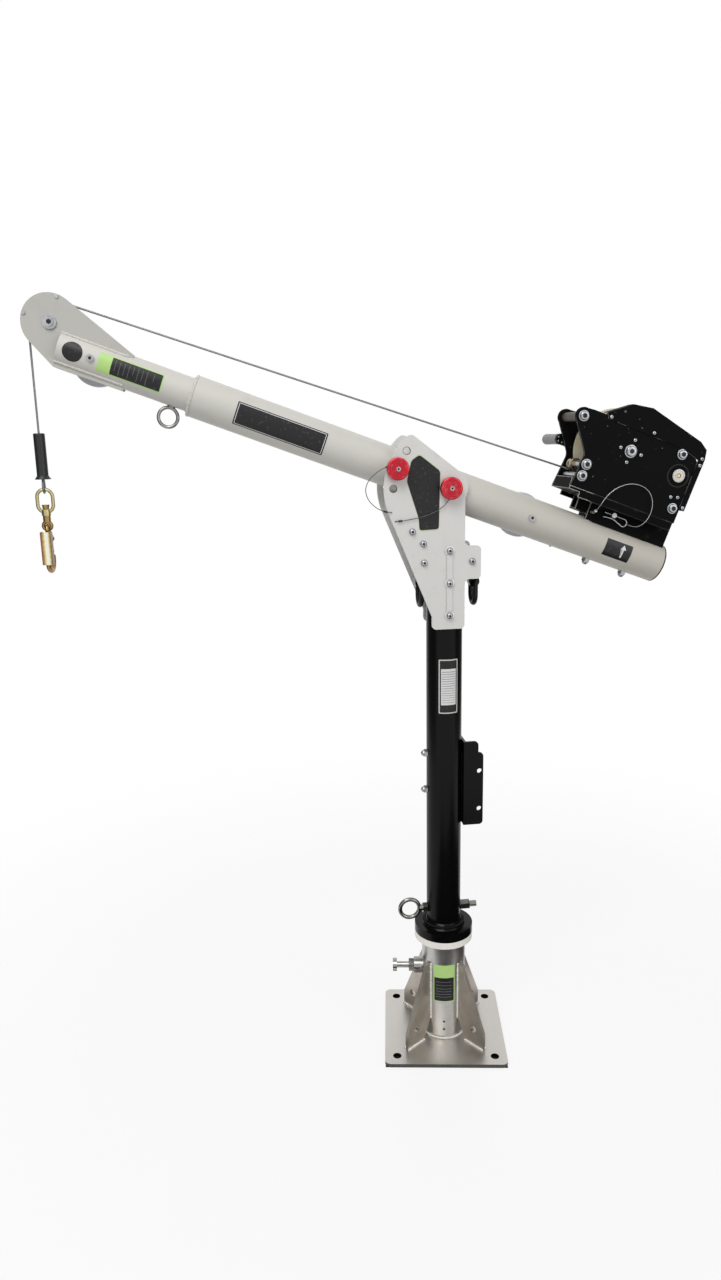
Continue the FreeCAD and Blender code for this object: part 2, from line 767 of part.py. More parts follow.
def mast_eye_bolt():
    z = MAST_EYE_Z
    ring_side = MAST_EYE_R - MAST_EYE_REACH
    eye = join(
        loop((-MAST_EYE_REACH, 0, z), (0, 1, 0), MAST_EYE_R, MAST_EYE_WIRE),
        bar((ring_side, 0, z), (MAST_EYE_TAIL, 0, z), MAST_EYE_BOLT_D),
    )
    nuts = [hexagon((-MAST_R, 0, z), (-MAST_R - MAST_EYE_NUT_T, 0, z), MAST_EYE_NUT_AF)]
    for k in range(2):
        x = MAST_R + k * (MAST_EYE_NUT_T + SLIP)
        nuts.append(hexagon((x, 0, z), (x + MAST_EYE_NUT_T, 0, z), MAST_EYE_NUT_AF))
    hole = bar((-MAST_EYE_REACH, 0, z), (MAST_EYE_TAIL, 0, z), MAST_EYE_BOLT_D)
    mast = bar((0, 0, 0), (0, 0, MAST_TOP), MAST_OD)
    return group([eye] + [nut.cut(hole).cut(mast) for nut in nuts])


def bracket_wing(root, edge, y, z, low_round):
    """Side flange with a rounded outer corner at its top, and at its foot where low_round says."""
    low, high = z
    return sheet([(root, low, 0), (edge, low, low_round), (edge, high, BRACKET_ROUND), (root, high, 0)], y)


def device_bracket():
    z = (BRACKET_LOW, BRACKET_HIGH)
    w = BRACKET_HALF_W
    back = MAST_R + BRACKET_T
    pad = BRACKET_PAD_W / 2
    web = block((MAST_R, back), (-w, w), z)
    saddle = block((MAST_R / 2, back), (-pad, pad), z)
    sides = []
    for y in ((-w, BRACKET_T - w), (w - BRACKET_T, w)):
        sides.append(bracket_wing(back - LAP, BRACKET_DEPTH, y, z, BRACKET_ROUND))
    tab_z = (BRACKET_HIGH - LAP, BRACKET_HIGH + BRACKET_TAB_H)
    tab = block((MAST_R, back), (-w, w), tab_z)
    tab_side = bracket_wing(back - LAP, BRACKET_TAB_DEPTH, (-w, BRACKET_T - w), tab_z, 0)
    body = join(web, saddle, tab, tab_side, *sides)
    body = body.cut(bar((0, 0, 0), (0, 0, MAST_TOP), MAST_OD))
    for hole_z in BRACKET_HOLES_Z:
        body = body.cut(disc((BRACKET_HOLE_X, hole_z), BRACKET_HOLE_D / 2, (-2 * w, 2 * w)))
    for bolt_z in BRACKET_BOLTS_Z:
        body = body.cut(bar((0, 0, bolt_z), (BRACKET_DEPTH, 0, bolt_z), BRACKET_BOLT_D))
    return body


def dome_nut(p, way, flats):
    """Hexagon nut with a round cap; way is the unit direction of the cap."""
    a = V(*p)
    step = V(*way)
    top = a + step * DOME_NUT_T
    cap = Part.makeSphere(flats * DOME_SHARE, top)
    return join(hexagon(tuple(a), tuple(top), flats), cap)


def device_bracket_bolts():
    bolts = []
    seat = MAST_R + BRACKET_T
    mast = bar((0, 0, 0), (0, 0, MAST_TOP), MAST_OD)
    for z in BRACKET_BOLTS_Z:
        shank = bar((-MAST_R - DOME_NUT_T, 0, z), (seat, 0, z), BRACKET_BOLT_D)
        head = hexagon((seat, 0, z), (seat + DOME_NUT_T, 0, z), DOME_NUT_AF)
        nut = dome_nut((NUT_SADDLE - MAST_R, 0, z), (-1, 0, 0), DOME_NUT_AF).cut(mast).cut(shank)
        bolts += [join(shank, head), nut]
    return group(bolts)


def cheek_bars():
    bars = []
    mast = bar((0, 0, 0), (0, 0, MAST_TOP), MAST_OD)
    w = CHEEK_HALF_W
    for y in ((-PLATE_IN, -MAST_R / 2), (MAST_R / 2, PLATE_IN)):
        cheek = block((-w, w), y, CHEEK_Z).cut(mast)
        for z in MAST_BOLTS_Z:
            cheek = cheek.cut(disc((0, z), MAST_BOLT_D / 2, (-PLATE_GAP, PLATE_GAP)))
        bars.append(cheek)
    return group(bars)


def around_pivot(r, degrees):
    """Point about the boom pivot, angle from +X towards +Z."""
    t = math.radians(degrees)
    return r * math.cos(t), PIVOT_Z + r * math.sin(t)


def side_plate(y):
    """Hinge plate: index sector and hub at the top, foot along the mast, ring lug at the rear."""
    depth = (min(y), max(y))
    low_x, high_x = PLATE_FOOT_X
    apex = around_pivot(SECTOR_R, APEX_ANGLE)
    low = around_pivot(SECTOR_R, SECTOR_LOW_ANGLE)
    hub_touch = tangent(apex, (0, PIVOT_Z), HUB_R, 1)
    arc = Part.Arc(V(apex[0], 0, apex[1]), V(-SECTOR_R, 0, PIVOT_Z), V(low[0], 0, low[1])).toShape()
    foot = [(low_x, PLATE_SHANK_Z), (low_x, PLATE_FOOT_Z), (high_x, PLATE_FOOT_Z)]
    rest = [low] + foot + [(high_x, PIVOT_Z), hub_touch, apex]
    lines = [Part.makeLine(V(a[0], 0, a[1]), V(b[0], 0, b[1])) for a, b in zip(rest, rest[1:])]
    face = Part.Face(Part.Wire([arc] + lines))
    face.translate(V(0, depth[0], 0))
    plate = face.extrude(V(0, PLATE_T, 0))
    for (x, z), r in ((apex, APEX_ROUND), (foot[1], PLATE_CORNER_R), (foot[2], PLATE_CORNER_R)):
        edges = []
        for e in plate.Edges:
            box = e.BoundBox
            if box.YLength > PLATE_T / 2 and math.hypot(box.Center.x - x, box.Center.z - z) < RUN_FIT:
                edges.append(e)
        plate = plate.makeFillet(r, edges)
    lug = [
        (high_x - LUG_ROOT, LUG_Z[0] - LUG_BLEND, 0),
        (high_x, LUG_Z[0] - LUG_BLEND, 0),
        (high_x + LUG_BLEND, LUG_Z[0], LUG_BLEND_R),
        (LUG_X, LUG_Z[0], PLATE_CORNER_R),
        (LUG_X, LUG_Z[1], PLATE_CORNER_R),
        (high_x + LUG_BLEND, LUG_Z[1], LUG_BLEND_R),
        (high_x, LUG_Z[1] + LUG_BLEND, 0),
        (high_x - LUG_ROOT, LUG_Z[1] + LUG_BLEND, 0),
    ]
    plate = join(plate, disc((0, PIVOT_Z), HUB_R, depth), sheet(lug, depth))
    holes = [(0, PIVOT_Z, PIVOT_PIN_D + 2 * RUN_FIT)]
    for step in (-INDEX_STEP, 0, INDEX_STEP):
        holes.append((*around_pivot(LOCK_RADIUS, 180 - BOOM_RAISE - step), LOCK_PIN_D + 2 * SLIP))
    holes += [(0, z, MAST_BOLT_D) for z in MAST_BOLTS_Z]
    holes += [(x, z, RING_BOLT_D) for x, z in STANDOFFS + RING_BOLTS]
    if depth[0] < 0:
        holes += [(x, z, LANYARD_HOLE_D) for x, z in LANYARD_HOLES]
    for x, z, d in holes:
        plate = plate.cut(disc((x, z), d / 2, (-2 * PLATE_OUT, 2 * PLATE_OUT)))
    return plate


def hinge_plate_bolts():
    pieces = []
    face = PLATE_OUT + WASHER_T
    for z in MAST_BOLTS_Z:
        bolt = cap_screw(0, z, -face, -1, MAST_BOLT_D, 2 * face + BOLT_HEAD_H)
        nut = hexagon((0, face, z), (0, face + BOLT_HEAD_H, z), MAST_BOLT_D * NUT_WIDE)
        pieces += [bolt, nut.cut(disc((0, z), MAST_BOLT_D / 2, (0, 2 * face)))]
    for y in ((-face, -PLATE_OUT), (PLATE_OUT, face)):
        strip = block((-STRIP_W / 2, STRIP_W / 2), y, (MAST_BOLTS_Z[0], MAST_BOLTS_Z[-1]))
        strip = join(strip, *[disc((0, z), WASHER_D / 2, y) for z in MAST_BOLTS_Z])
        for z in MAST_BOLTS_Z:
            strip = strip.cut(disc((0, z), MAST_BOLT_D / 2, (-2 * face, 2 * face)))
        pieces.append(strip)
    for x, z in STANDOFFS:
        tap = 2 * RING_BOLT_D
        post = bar((x, -PLATE_IN, z), (x, PLATE_IN, z), STANDOFF_D)
        for out in (-1, 1):
            screw = cap_screw(x, z, out * PLATE_OUT, out, RING_BOLT_D, PLATE_T + tap)
            post = post.cut(screw)
            pieces.append(screw)
        pieces.append(post)
    for x, z in RING_BOLTS:
        bolt = cap_screw(x, z, -PLATE_OUT, -1, RING_BOLT_D, 2 * PLATE_OUT + BOLT_HEAD_H)
        nut = hexagon((x, PLATE_OUT, z), (x, PLATE_OUT + BOLT_HEAD_H, z), RING_BOLT_D * NUT_WIDE)
        pieces += [bolt, nut.cut(disc((x, z), RING_BOLT_D / 2, (0, 2 * PLATE_OUT)))]
    return group(pieces)


def ring_brackets():
    """Sleeve on each ring bolt with a strap down to the eye that the anchor ring swings in."""
    brackets = []
    t = RING_STRAP_T / 2
    for (bx, bz), (ex, ez) in zip(RING_BOLTS, RING_EYES):
        run = V(ex - bx, 0, ez - bz)
        side = V(run.z, 0, -run.x)
        side.normalize()
        top = side * (RING_SLEEVE_D / 2)
        low = side * (RING_BOSS_D / 2)
        a = V(bx, -t, bz)
        b = V(ex, -t, ez)
        face = Part.Face(Part.makePolygon([a + top, a - top, b - low, b + low, a + top]))
        strap = face.extrude(V(0, 2 * t, 0))
        bracket = join(
            bar((bx, -PLATE_IN, bz), (bx, PLATE_IN, bz), RING_SLEEVE_D),
            strap,
            bar((ex, -t, ez), (ex, t, ez), RING_BOSS_D),
        )
        bracket = bracket.cut(bar((bx, -PLATE_IN, bz), (bx, PLATE_IN, bz), RING_BOLT_D))
        brackets.append(bracket.cut(bar((ex, -t, ez), (ex, t, ez), RING_WIRE + 2 * RUN_FIT)))
    return group(brackets)


def anchor_ring(x, z):
    """D-shaped ring: straight bar in the bracket, two legs and a round bow below."""
    w = RING_HALF_W
    bow_z = z - RING_DROP + w
    half = Part.makeTorus(w, RING_WIRE / 2, V(x, 0, bow_z), V(1, 0, 0))
    keep = block((x - w, x + w), (-2 * w, 2 * w), (bow_z - 2 * w, bow_z))
    pieces = [bar((x, -w, z), (x, w, z), RING_WIRE), half.common(keep)]
    for y in (-w, w):
        pieces.append(bar((x, y, bow_z), (x, y, z), RING_WIRE))
        pieces.append(ball((x, y, z), RING_WIRE))
    return join(*pieces)


# Quick-release pins, their knobs and lanyards

def knob(centre, y, bore):
    """Turned knob outside the near plate: a hub for the lanyard, a wide rim and a shallow face."""
    hub = y - KNOB_HUB_L
    face = hub - KNOB_T
    profile = [
        (y, 0),
        (y, KNOB_HUB_D / 2),
        (hub, KNOB_HUB_D / 2),
        (hub - KNOB_EDGE, KNOB_D / 2),
        (face + KNOB_EDGE, KNOB_D / 2),
        (face, KNOB_D / 2 - KNOB_EDGE),
        (face, 0),
    ]
    return turned(profile, centre).cut(disc(centre, bore / 2, (face, y)))


KNOB_SEAT = -PLATE_OUT - KNOB_CLEAR
KNOB_FACE = KNOB_SEAT - KNOB_HUB_L - KNOB_T


def pivot_pin():
    stud = bar((0, KNOB_SEAT, PIVOT_Z), (0, KNOB_FACE - STUD_OUT, PIVOT_Z), STUD_D)
    return join(bar((0, KNOB_SEAT, PIVOT_Z), (0, PLATE_OUT + PIN_TAIL, PIVOT_Z), PIVOT_PIN_D), stud)


def lock_pin():
    """Shank in the boom's cross bush and stud in the knob, open where it would pass the near plate."""
    shank = bar((-LOCK_RADIUS, SLIP - PLATE_IN, 0), (-LOCK_RADIUS, PLATE_IN - SLIP, 0), LOCK_PIN_D)
    stud = bar((-LOCK_RADIUS, KNOB_SEAT, 0), (-LOCK_RADIUS, KNOB_FACE - STUD_OUT, 0), STUD_D)
    return on_boom(group([shank, stud]))


LANYARD_Y = KNOB_SEAT - KNOB_HUB_L / 2
LANYARD_HOLES = ((-138.0, 1416.0), (-129.0, 1395.0))
PIVOT_LANYARD = [
    (2.5, LANYARD_Y, 1454), (-5, LANYARD_Y, 1438), (-21, LANYARD_Y, 1423), (-42, -62, 1412),
    (-66, -62, 1404), (-90, -62, 1399.5), (-109, -62.2, 1397), (-120.5, -62.2, 1396),
    (-127.4, -62.2, 1395.3), (-129, -58.9, 1395), (-129, -53, 1395),
]
LOCK_LANYARD = [
    (-138, LANYARD_Y, 1524), (-153, LANYARD_Y, 1519), (-171, LANYARD_Y, 1509), (-190, LANYARD_Y, 1493),
    (-200, LANYARD_Y, 1470), (-193, LANYARD_Y, 1446), (-175, -62, 1428), (-158, -62.2, 1420),
    (-146.5, -62.2, 1417), (-139.6, -62.2, 1416.2), (-138, -58.9, 1416), (-138, -53, 1416),
]
HITCH_LANYARD = [
    (358, -24, 62), (358, -32, 62), (357.5, -43, 63), (357, -57, 69), (357, -68, 83), (361, -70, 103),
    (372, -70, 124), (389, -70, 142), (411, -70, 154), (438, -70, 157), (462, -70, 148), (477, -70, 129),
    (482, -70, 106), (480, -69, 85), (472, -61, 67), (462, -47, 61), (452.2, -34.6, 62.5),
]


# Boom tubes

def boom_holes(solid):
    """Cross holes for the bushes, the line pulley axles and the rail bolts."""
    wide = (-BOOM_OD, BOOM_OD)
    for x, d in ((0, PIVOT_PIN_D), (-LOCK_RADIUS, LOCK_PIN_D)):
        solid = solid.cut(disc((x, 0), d / 2 + CROSS_BUSH_WALL, wide))
    for x in LINE_PULLEYS_X.values():
        solid = solid.cut(disc((x, 0), LINE_AXLE_D / 2, wide))
    for x in RAIL_BOLTS_X:
        solid = solid.cut(bar((x, 0, -BOOM_OD), (x, 0, BOOM_OD), RAIL_BOLT_D))
    return solid.cut(bar((BOOM_EYE_X, 0, -BOOM_OD), (BOOM_EYE_X, 0, 0), BOOM_EYE_BOLT_D))


def boom_outer_tube():
    body = tube((-BOOM_STEP, 0, 0), (BOOM_REAR, 0, 0), BOOM_OD, BOOM_OD - 2 * BOOM_WALL)
    return on_boom(boom_holes(body))


def head_plate(y):
    """Sheave cheek: round about the sheave, tapering back into the tube's slots."""
    centre = (SHEAVE_X, SHEAVE_Z)
    upper = tangent(HEAD_TIP, centre, HEAD_R, -1)
    lower = tangent(HEAD_CHIN, centre, HEAD_R, 1)
    back = [HEAD_TIP, HEAD_HEEL, HEAD_CHIN]
    corners = [(x, z, 0) for x, z in [upper] + back + [lower]]
    plate = join(sheet(corners, y), disc(centre, HEAD_R, y))
    plate = plate.cut(disc(centre, AXLE_D / 2, y))
    for x, z in guard_places():
        plate = plate.cut(disc((x, z), GUARD_PIN_D / 2, y))
    return plate.cut(disc((LINE_PULLEYS_X["front"], 0), LINE_AXLE_D / 2, y))


def guard_places():
    return (SHEAVE_X, SHEAVE_Z + GUARD_PIN_R), (SHEAVE_X - GUARD_PIN_R, SHEAVE_Z)


HEAD_SIDES = ((-HEAD_OUT, -HEAD_IN), (HEAD_IN, HEAD_OUT))


def head_plates():
    return on_boom(group([head_plate(y) for y in HEAD_SIDES]))


def boom_inner_tube():
    inner = SMALL_OD - 2 * SMALL_WALL
    bore = BOOM_OD - 2 * BOOM_WALL
    weld = BOOM_STEP + STEP_WELD_L
    body = join(
        bar((SPIGOT_L - BOOM_STEP, 0, 0), (-BOOM_STEP, 0, 0), bore),
        cone((-BOOM_STEP, 0, 0), (-weld, 0, 0), BOOM_OD, SMALL_OD + STEP_WELD_PROUD),
        bar((-BOOM_STEP, 0, 0), (-SMALL_FRONT, 0, 0), SMALL_OD),
    )
    body = boom_holes(body.cut(bar((0, 0, 0), (-SMALL_FRONT, 0, 0), inner)))
    open_head = disc((SHEAVE_X, SHEAVE_Z), HEAD_R, (-HEAD_IN, HEAD_IN))
    for y in HEAD_SIDES:
        body = body.cut(head_plate(y))
    return on_boom(body.cut(open_head))


def boom_end_cap():
    bore = BOOM_OD - 2 * BOOM_WALL
    plug = tube((BOOM_REAR - END_PLUG_L, 0, 0), (BOOM_REAR, 0, 0), bore, bore - 2 * END_PLUG_WALL)
    lid = bar((BOOM_REAR, 0, 0), (BOOM_REAR + END_CAP_T, 0, 0), BOOM_OD)
    rim = [e for e in lid.Edges if e.BoundBox.XMin > BOOM_REAR + END_CAP_T / 2]
    return on_boom(join(plug, lid.makeFillet(END_CAP_T / 2, rim)))


def head_pins():
    """Sheave axle with its flanged head and nut, and the two rope guard pins."""
    centre = (SHEAVE_X, SHEAVE_Z)
    out = HEAD_OUT
    near = disc(centre, AXLE_FLANGE_D / 2, (-out - AXLE_FLANGE_T, -out))
    cap = disc(centre, AXLE_CAP_D / 2, (-out - AXLE_FLANGE_T - AXLE_CAP_T, -out - AXLE_FLANGE_T))
    shaft = disc(centre, AXLE_D / 2, (-out - AXLE_FLANGE_T, out + AXLE_FLANGE_T))
    far = disc(centre, AXLE_FLANGE_D / 2, (out, out + AXLE_FLANGE_T))
    pieces = [join(near, cap, shaft, far)]
    ends = ((-out - GUARD_HEAD_T, -out), (out, out + GUARD_HEAD_T))
    for place in guard_places():
        heads = [disc(place, GUARD_HEAD_D / 2, y) for y in ends]
        pieces.append(join(disc(place, GUARD_PIN_D / 2, (-out, out)), *heads))
    return on_boom(group(pieces))


def sheave():
    rim = SHEAVE_RIM
    root = SHEAVE_ROPE_R - ROPE_R - SLIP
    w = SHEAVE_W / 2
    g = SHEAVE_GROOVE_W / 2
    bore = AXLE_D / 2 + RUN_FIT
    hub = bore + SHEAVE_HUB_WALL
    web = root - SHEAVE_RIM_DEPTH
    half = [
        (ROPE_R, root),
        (g, rim),
        (w, rim),
        (w, web + SHEAVE_RIM_TAPER),
        (g + SHEAVE_GROOVE_WALL, web),
        (g + SHEAVE_GROOVE_WALL, hub + SHEAVE_HUB_TAPER),
        (w, hub),
        (w, bore),
    ]
    profile = half + [(-y, r) for y, r in reversed(half)]
    return on_boom(turned(profile, (SHEAVE_X, SHEAVE_Z)))


def boom_eye_bolt():
    x = BOOM_EYE_X
    centre = -BOOM_EYE_DROP
    seat = -SMALL_R
    inside = SMALL_WALL - SMALL_R
    ring = loop((x, 0, centre), (0, 1, 0), BOOM_EYE_R, BOOM_EYE_WIRE)
    collar = bar((x, 0, centre + BOOM_EYE_R), (x, 0, seat + LAP), BOOM_EYE_NUT_AF)
    collar = collar.cut(bar((-BOOM_STEP, 0, 0), (-SMALL_FRONT, 0, 0), SMALL_OD))
    tail = inside + BOOM_EYE_NUT_T + BOOM_EYE_TAIL
    stem = bar((x, 0, centre + BOOM_EYE_R), (x, 0, tail), BOOM_EYE_BOLT_D)
    nut = hexagon((x, 0, inside), (x, 0, inside + BOOM_EYE_NUT_T), BOOM_EYE_NUT_AF)
    bore = bar((-BOOM_STEP, 0, 0), (-SMALL_FRONT, 0, 0), SMALL_OD - 2 * SMALL_WALL)
    return on_boom(group([join(ring, collar, stem), nut.common(bore).cut(stem)]))


def boom_bushes():
    bushes = []
    end = PLATE_IN - SLIP
    for x, d in ((0, PIVOT_PIN_D), (-LOCK_RADIUS, LOCK_PIN_D)):
        bore = d + 2 * RUN_FIT
        bushes.append(tube((x, -end, 0), (x, end, 0), d + 2 * CROSS_BUSH_WALL, bore))
    return on_boom(group(bushes))


def line_pulley(name):
    x = LINE_PULLEYS_X[name]
    y = LINE_PULLEY_Y
    w = LINE_PULLEY_W
    mid = y + w / 2
    r = LINE_PULLEY_R
    bore = LINE_AXLE_D / 2 + RUN_FIT
    half = [
        (LINE_GROOVE_FLAT / 2, r - LINE_GROOVE_DEPTH),
        (w / 2 - LINE_RIM_W, r),
        (w / 2 - LINE_RIM_EDGE, r),
        (w / 2, r - LINE_RIM_EDGE),
        (w / 2, bore),
    ]
    profile = [(mid + out, d) for out, d in half] + [(mid - out, d) for out, d in reversed(half)]
    return on_boom(turned(profile, (x, 0)))


def sunk_head(x):
    """Countersunk head of a rail bolt, flush with the rail's floor."""
    low = RAIL_FLOOR - RAIL_BOLT_D / 2
    return cone((x, 0, low), (x, 0, RAIL_FLOOR), RAIL_BOLT_D, 2 * RAIL_BOLT_D)


def boom_bolts():
    """Line pulley axles with spacers and nuts, the winch rail's countersunk bolts and the hitch pin."""
    pieces = []
    for name, r in (("front", SMALL_R), ("rear", BOOM_R)):
        x = LINE_PULLEYS_X[name]
        near = -r - LINE_HEAD_T
        outer = LINE_PULLEY_Y + LINE_PULLEY_W + SLIP
        end = outer + LINE_NUT_T
        tube_solid = bar((x - LINE_COPE_L, 0, 0), (x + LINE_COPE_L, 0, 0), 2 * r)
        axle = disc((x, 0), LINE_AXLE_D / 2, (near, end))
        head = disc((x, 0), LINE_HEAD_D / 2, (near, NUT_SADDLE - r)).cut(tube_solid)
        spacer = disc((x, 0), LINE_SPACER_D / 2, (0, LINE_PULLEY_Y - SLIP)).cut(tube_solid).cut(axle)
        nut = hexagon((x, outer, 0), (x, end, 0), LINE_NUT_AF).cut(axle)
        pieces += [join(axle, head), spacer, nut]
    boom = bar((0, 0, 0), (BOOM_REAR, 0, 0), BOOM_OD)
    for x in RAIL_BOLTS_X:
        shank = bar((x, 0, -BOOM_R - DOME_NUT_T), (x, 0, RAIL_FLOOR), RAIL_BOLT_D)
        nut = dome_nut((x, 0, NUT_SADDLE - BOOM_R), (0, 0, -1), DOME_NUT_AF).cut(boom).cut(shank)
        pieces += [join(shank, sunk_head(x)), nut]
    pieces.append(hitch_pin())
    return on_boom(group(pieces))


def winch_rail():
    """Open-topped channel whose underside is coped to the boom."""
    body = block(RAIL_X, (-RAIL_OUT, RAIL_OUT), (RAIL_SKIRT, RAIL_TOP))
    body = body.cut(block(RAIL_X, (-RAIL_IN, RAIL_IN), (RAIL_FLOOR, RAIL_TOP)))
    body = body.cut(bar((0, 0, 0), (2 * BOOM_REAR, 0, 0), BOOM_OD))
    for x in RAIL_BOLTS_X:
        body = body.cut(bar((x, 0, 0), (x, 0, RAIL_FLOOR), RAIL_BOLT_D)).cut(sunk_head(x))
    x, y, z = HITCH_LANYARD[0]
    body = body.cut(disc((x, z), LANYARD_HOLE_D / 2, (-RAIL_OUT, -RAIL_IN)))
    return on_boom(body.cut(disc((HITCH_X, HITCH_Z), HITCH_D / 2, (-BOOM_OD, BOOM_OD))))


# Winch case

def winch_foot():
    """Square bar that slides in the rail, the plate welded on it, side lips and the front crossbar."""
    half = FOOT_BAR / 2
    hollow = half - FOOT_BAR_WALL
    body = block(FOOT_BAR_X, (-half, half), (RAIL_FLOOR, BAR_TOP))
    inside = (RAIL_FLOOR + FOOT_BAR_WALL, BAR_TOP - FOOT_BAR_WALL)
    body = body.cut(block(FOOT_BAR_X, (-hollow, hollow), inside))
    body = body.cut(disc((HITCH_X, HITCH_Z), HITCH_D / 2, (-BOOM_OD, BOOM_OD)))
    deck_x = (CROSSBAR_X[0], FOOT_PLATE_X[1])
    deck = block(deck_x, (-CASE_OUT, CASE_OUT), (BAR_TOP, FOOT_TOP))
    pieces = [body, deck, block(CROSSBAR_X, (-CASE_IN, CASE_IN), (FOOT_TOP, FOOT_TOP + CROSSBAR_H))]
    for y in ((-CASE_OUT, FOOT_BAR_WALL - CASE_OUT), (CASE_OUT - FOOT_BAR_WALL, CASE_OUT)):
        pieces.append(block(FOOT_PLATE_X, y, (BAR_TOP - FOOT_LIP_H, BAR_TOP)))
    return on_boom(join(*pieces))


def case_rods():
    """Places and diameters of everything that runs across the case."""
    rods = [(*LOBE, ROD_D), (DRUM_X, DRUM_Z, DRUM_SHAFT_D)]
    rods += [(GUIDE_X, z, ROD_D) for z in GUIDES_Z]
    return rods + [(x, z, ROD_D) for x, z in REAR_RODS]


def winch_side(y):
    """Case plate: roller lobe at the upper front, waist for the rope, square rear."""
    lobe_x, lobe_z = LOBE
    corners = [
        (CROSSBAR_X[0], FOOT_TOP, 0),
        (CASE_FRONT - CASE_TOE_SET, GUIDES_Z[1], CASE_TOE_R),
        (CASE_FRONT, CASE_WAIST_Z, CASE_WAIST_R),
        (lobe_x - LOBE_R * LOBE_LOW_TOUCH[0], lobe_z - LOBE_R * LOBE_LOW_TOUCH[1], 0),
        (lobe_x - LOBE_R * LOBE_HIGH_TOUCH[0], lobe_z + LOBE_R * LOBE_HIGH_TOUCH[1], 0),
        (lobe_x + LOBE_R, CASE_TOP, 0),
        (CASE_REAR - CASE_SHOULDER, CASE_TOP, CASE_SHOULDER_R),
        (CASE_REAR, CASE_TOP - CASE_SHOULDER, CASE_SHOULDER_R),
        (CASE_REAR, FOOT_TOP, 0),
    ]
    plate = join(sheet(corners, y), disc(LOBE, LOBE_R, y))
    for x, z, d in case_rods():
        plate = plate.cut(disc((x, z), d / 2, y))
    return plate


def winch_side_near():
    plate = winch_side((-CASE_OUT, -CASE_IN))
    bearing = disc((PINION_X, PINION_Z), PINION_SHAFT_D / 2 + RUN_FIT, (-CASE_OUT, 0))
    return on_boom(plate.cut(bearing))


def winch_side_far():
    plate = winch_side((CASE_IN, CASE_OUT))
    plate = plate.cut(disc(PAWL_PIVOT, PAWL_STUD_D / 2, (0, CASE_OUT)))
    bearing = disc((PINION_X, PINION_Z), PINION_SHAFT_D / 2 + RUN_FIT, (0, CASE_OUT))
    return on_boom(plate.cut(bearing))


def inset(points, d):
    """Moves an open run of points sideways by d, square to each run."""
    moved = []
    for k, p in enumerate(points):
        before = points[max(k - 1, 0)]
        after = points[min(k + 1, len(points) - 1)]
        sides = []
        for a, b in ((before, p), (p, after)):
            run = V(b[0] - a[0], 0, b[1] - a[1])
            if run.Length > 0:
                run.normalize()
                sides.append(V(run.z, 0, -run.x))
        side = sides[0] + sides[-1]
        side = side * (2 * d / side.Length ** 2)
        moved.append((p[0] + side.x, p[1] + side.z))
    return moved


def gear_cover():
    """Folded sheet over the gears: a skin along the top and rear and a flange lapped on the near plate."""
    skin_corners = [(x, z, 0) for x, z in COVER_TOP + tuple(reversed(inset(COVER_TOP, COVER_T)))]
    flange_corners = [(x, z, 0) for x, z in COVER_TOP + COVER_SEAM]
    skin = sheet(skin_corners, (-CASE_OUT, COVER_DEPTH - CASE_OUT))
    return on_boom(join(skin, sheet(flange_corners, (-CASE_OUT - COVER_T, -CASE_OUT))))


def winch_tie_rods():
    """Carry roller, rope guides, rear tie rods and the fixed drum shaft, with their screw heads."""
    pieces = []
    for x, z, d in case_rods():
        wide = max(ROD_HEAD_D, d)
        heads = []
        for y0, y1 in ((-CASE_OUT, -CASE_OUT - ROD_HEAD_T), (CASE_OUT, CASE_OUT + ROD_HEAD_T)):
            heads.append(cone((x, y0, z), (x, y1, z), wide, wide * ROD_HEAD_CROWN))
        pieces.append(join(disc((x, z), d / 2, (-CASE_OUT, CASE_OUT)), *heads))
    roller = disc(LOBE, ROLLER_D / 2, (SLIP - CASE_IN, CASE_IN - SLIP))
    pieces.append(roller.cut(disc(LOBE, ROD_D / 2, (-CASE_IN, CASE_IN))))
    middle = sum(DRUM_Y) / 2
    span = (middle - GUIDE_ROLLER_L / 2, middle + GUIDE_ROLLER_L / 2)
    for z in GUIDES_Z:
        guide = disc((GUIDE_X, z), GUIDE_ROLLER_D / 2, span)
        pieces.append(guide.cut(disc((GUIDE_X, z), ROD_D / 2, span)))
    return on_boom(group(pieces))


def hitch_pin():
    """Headed pin through rail and foot bar, drilled at its near end for the spring clip."""
    seat = RAIL_OUT
    pin = join(
        disc((HITCH_X, HITCH_Z), HITCH_D / 2, (-seat - HITCH_OUT, seat)),
        disc((HITCH_X, HITCH_Z), HITCH_HEAD_D / 2, (seat, seat + HITCH_HEAD_T)),
    )
    ends = [(HITCH_X + side * HITCH_D, CLIP_Y, HITCH_Z) for side in (-1, 1)]
    return pin.cut(bar(*ends, CLIP_WIRE + 2 * RUN_FIT))


def hitch_clip():
    """Spring clip: a straight leg through the pin, a ring to pull it by and a bowed leg below the pin."""
    front = V(HITCH_X - CLIP_LEG_FRONT, CLIP_Y, HITCH_Z)
    rear = V(HITCH_X + CLIP_LEG_REAR, CLIP_Y, HITCH_Z)
    low = HITCH_Z - HITCH_D / 2 - CLIP_WIRE / 2 - SLIP
    ring = (rear.x, HITCH_Z - CLIP_RING_R)
    x, z = tangent((HITCH_X, low), ring, CLIP_RING_R, -1)
    touch = V(x, CLIP_Y, z)
    bow = [touch, V(HITCH_X, CLIP_Y, low), V(front.x, CLIP_Y, low - CLIP_WIRE)]
    edges = rounded_path(bow)[0]
    leg = Part.makeLine(front, rear)
    turn = Part.Arc(rear, V(ring[0] + CLIP_RING_R, CLIP_Y, ring[1]), touch).toShape()
    return on_boom(pipe([leg, turn] + edges, CLIP_WIRE, rear - front)[0])


# Winch works

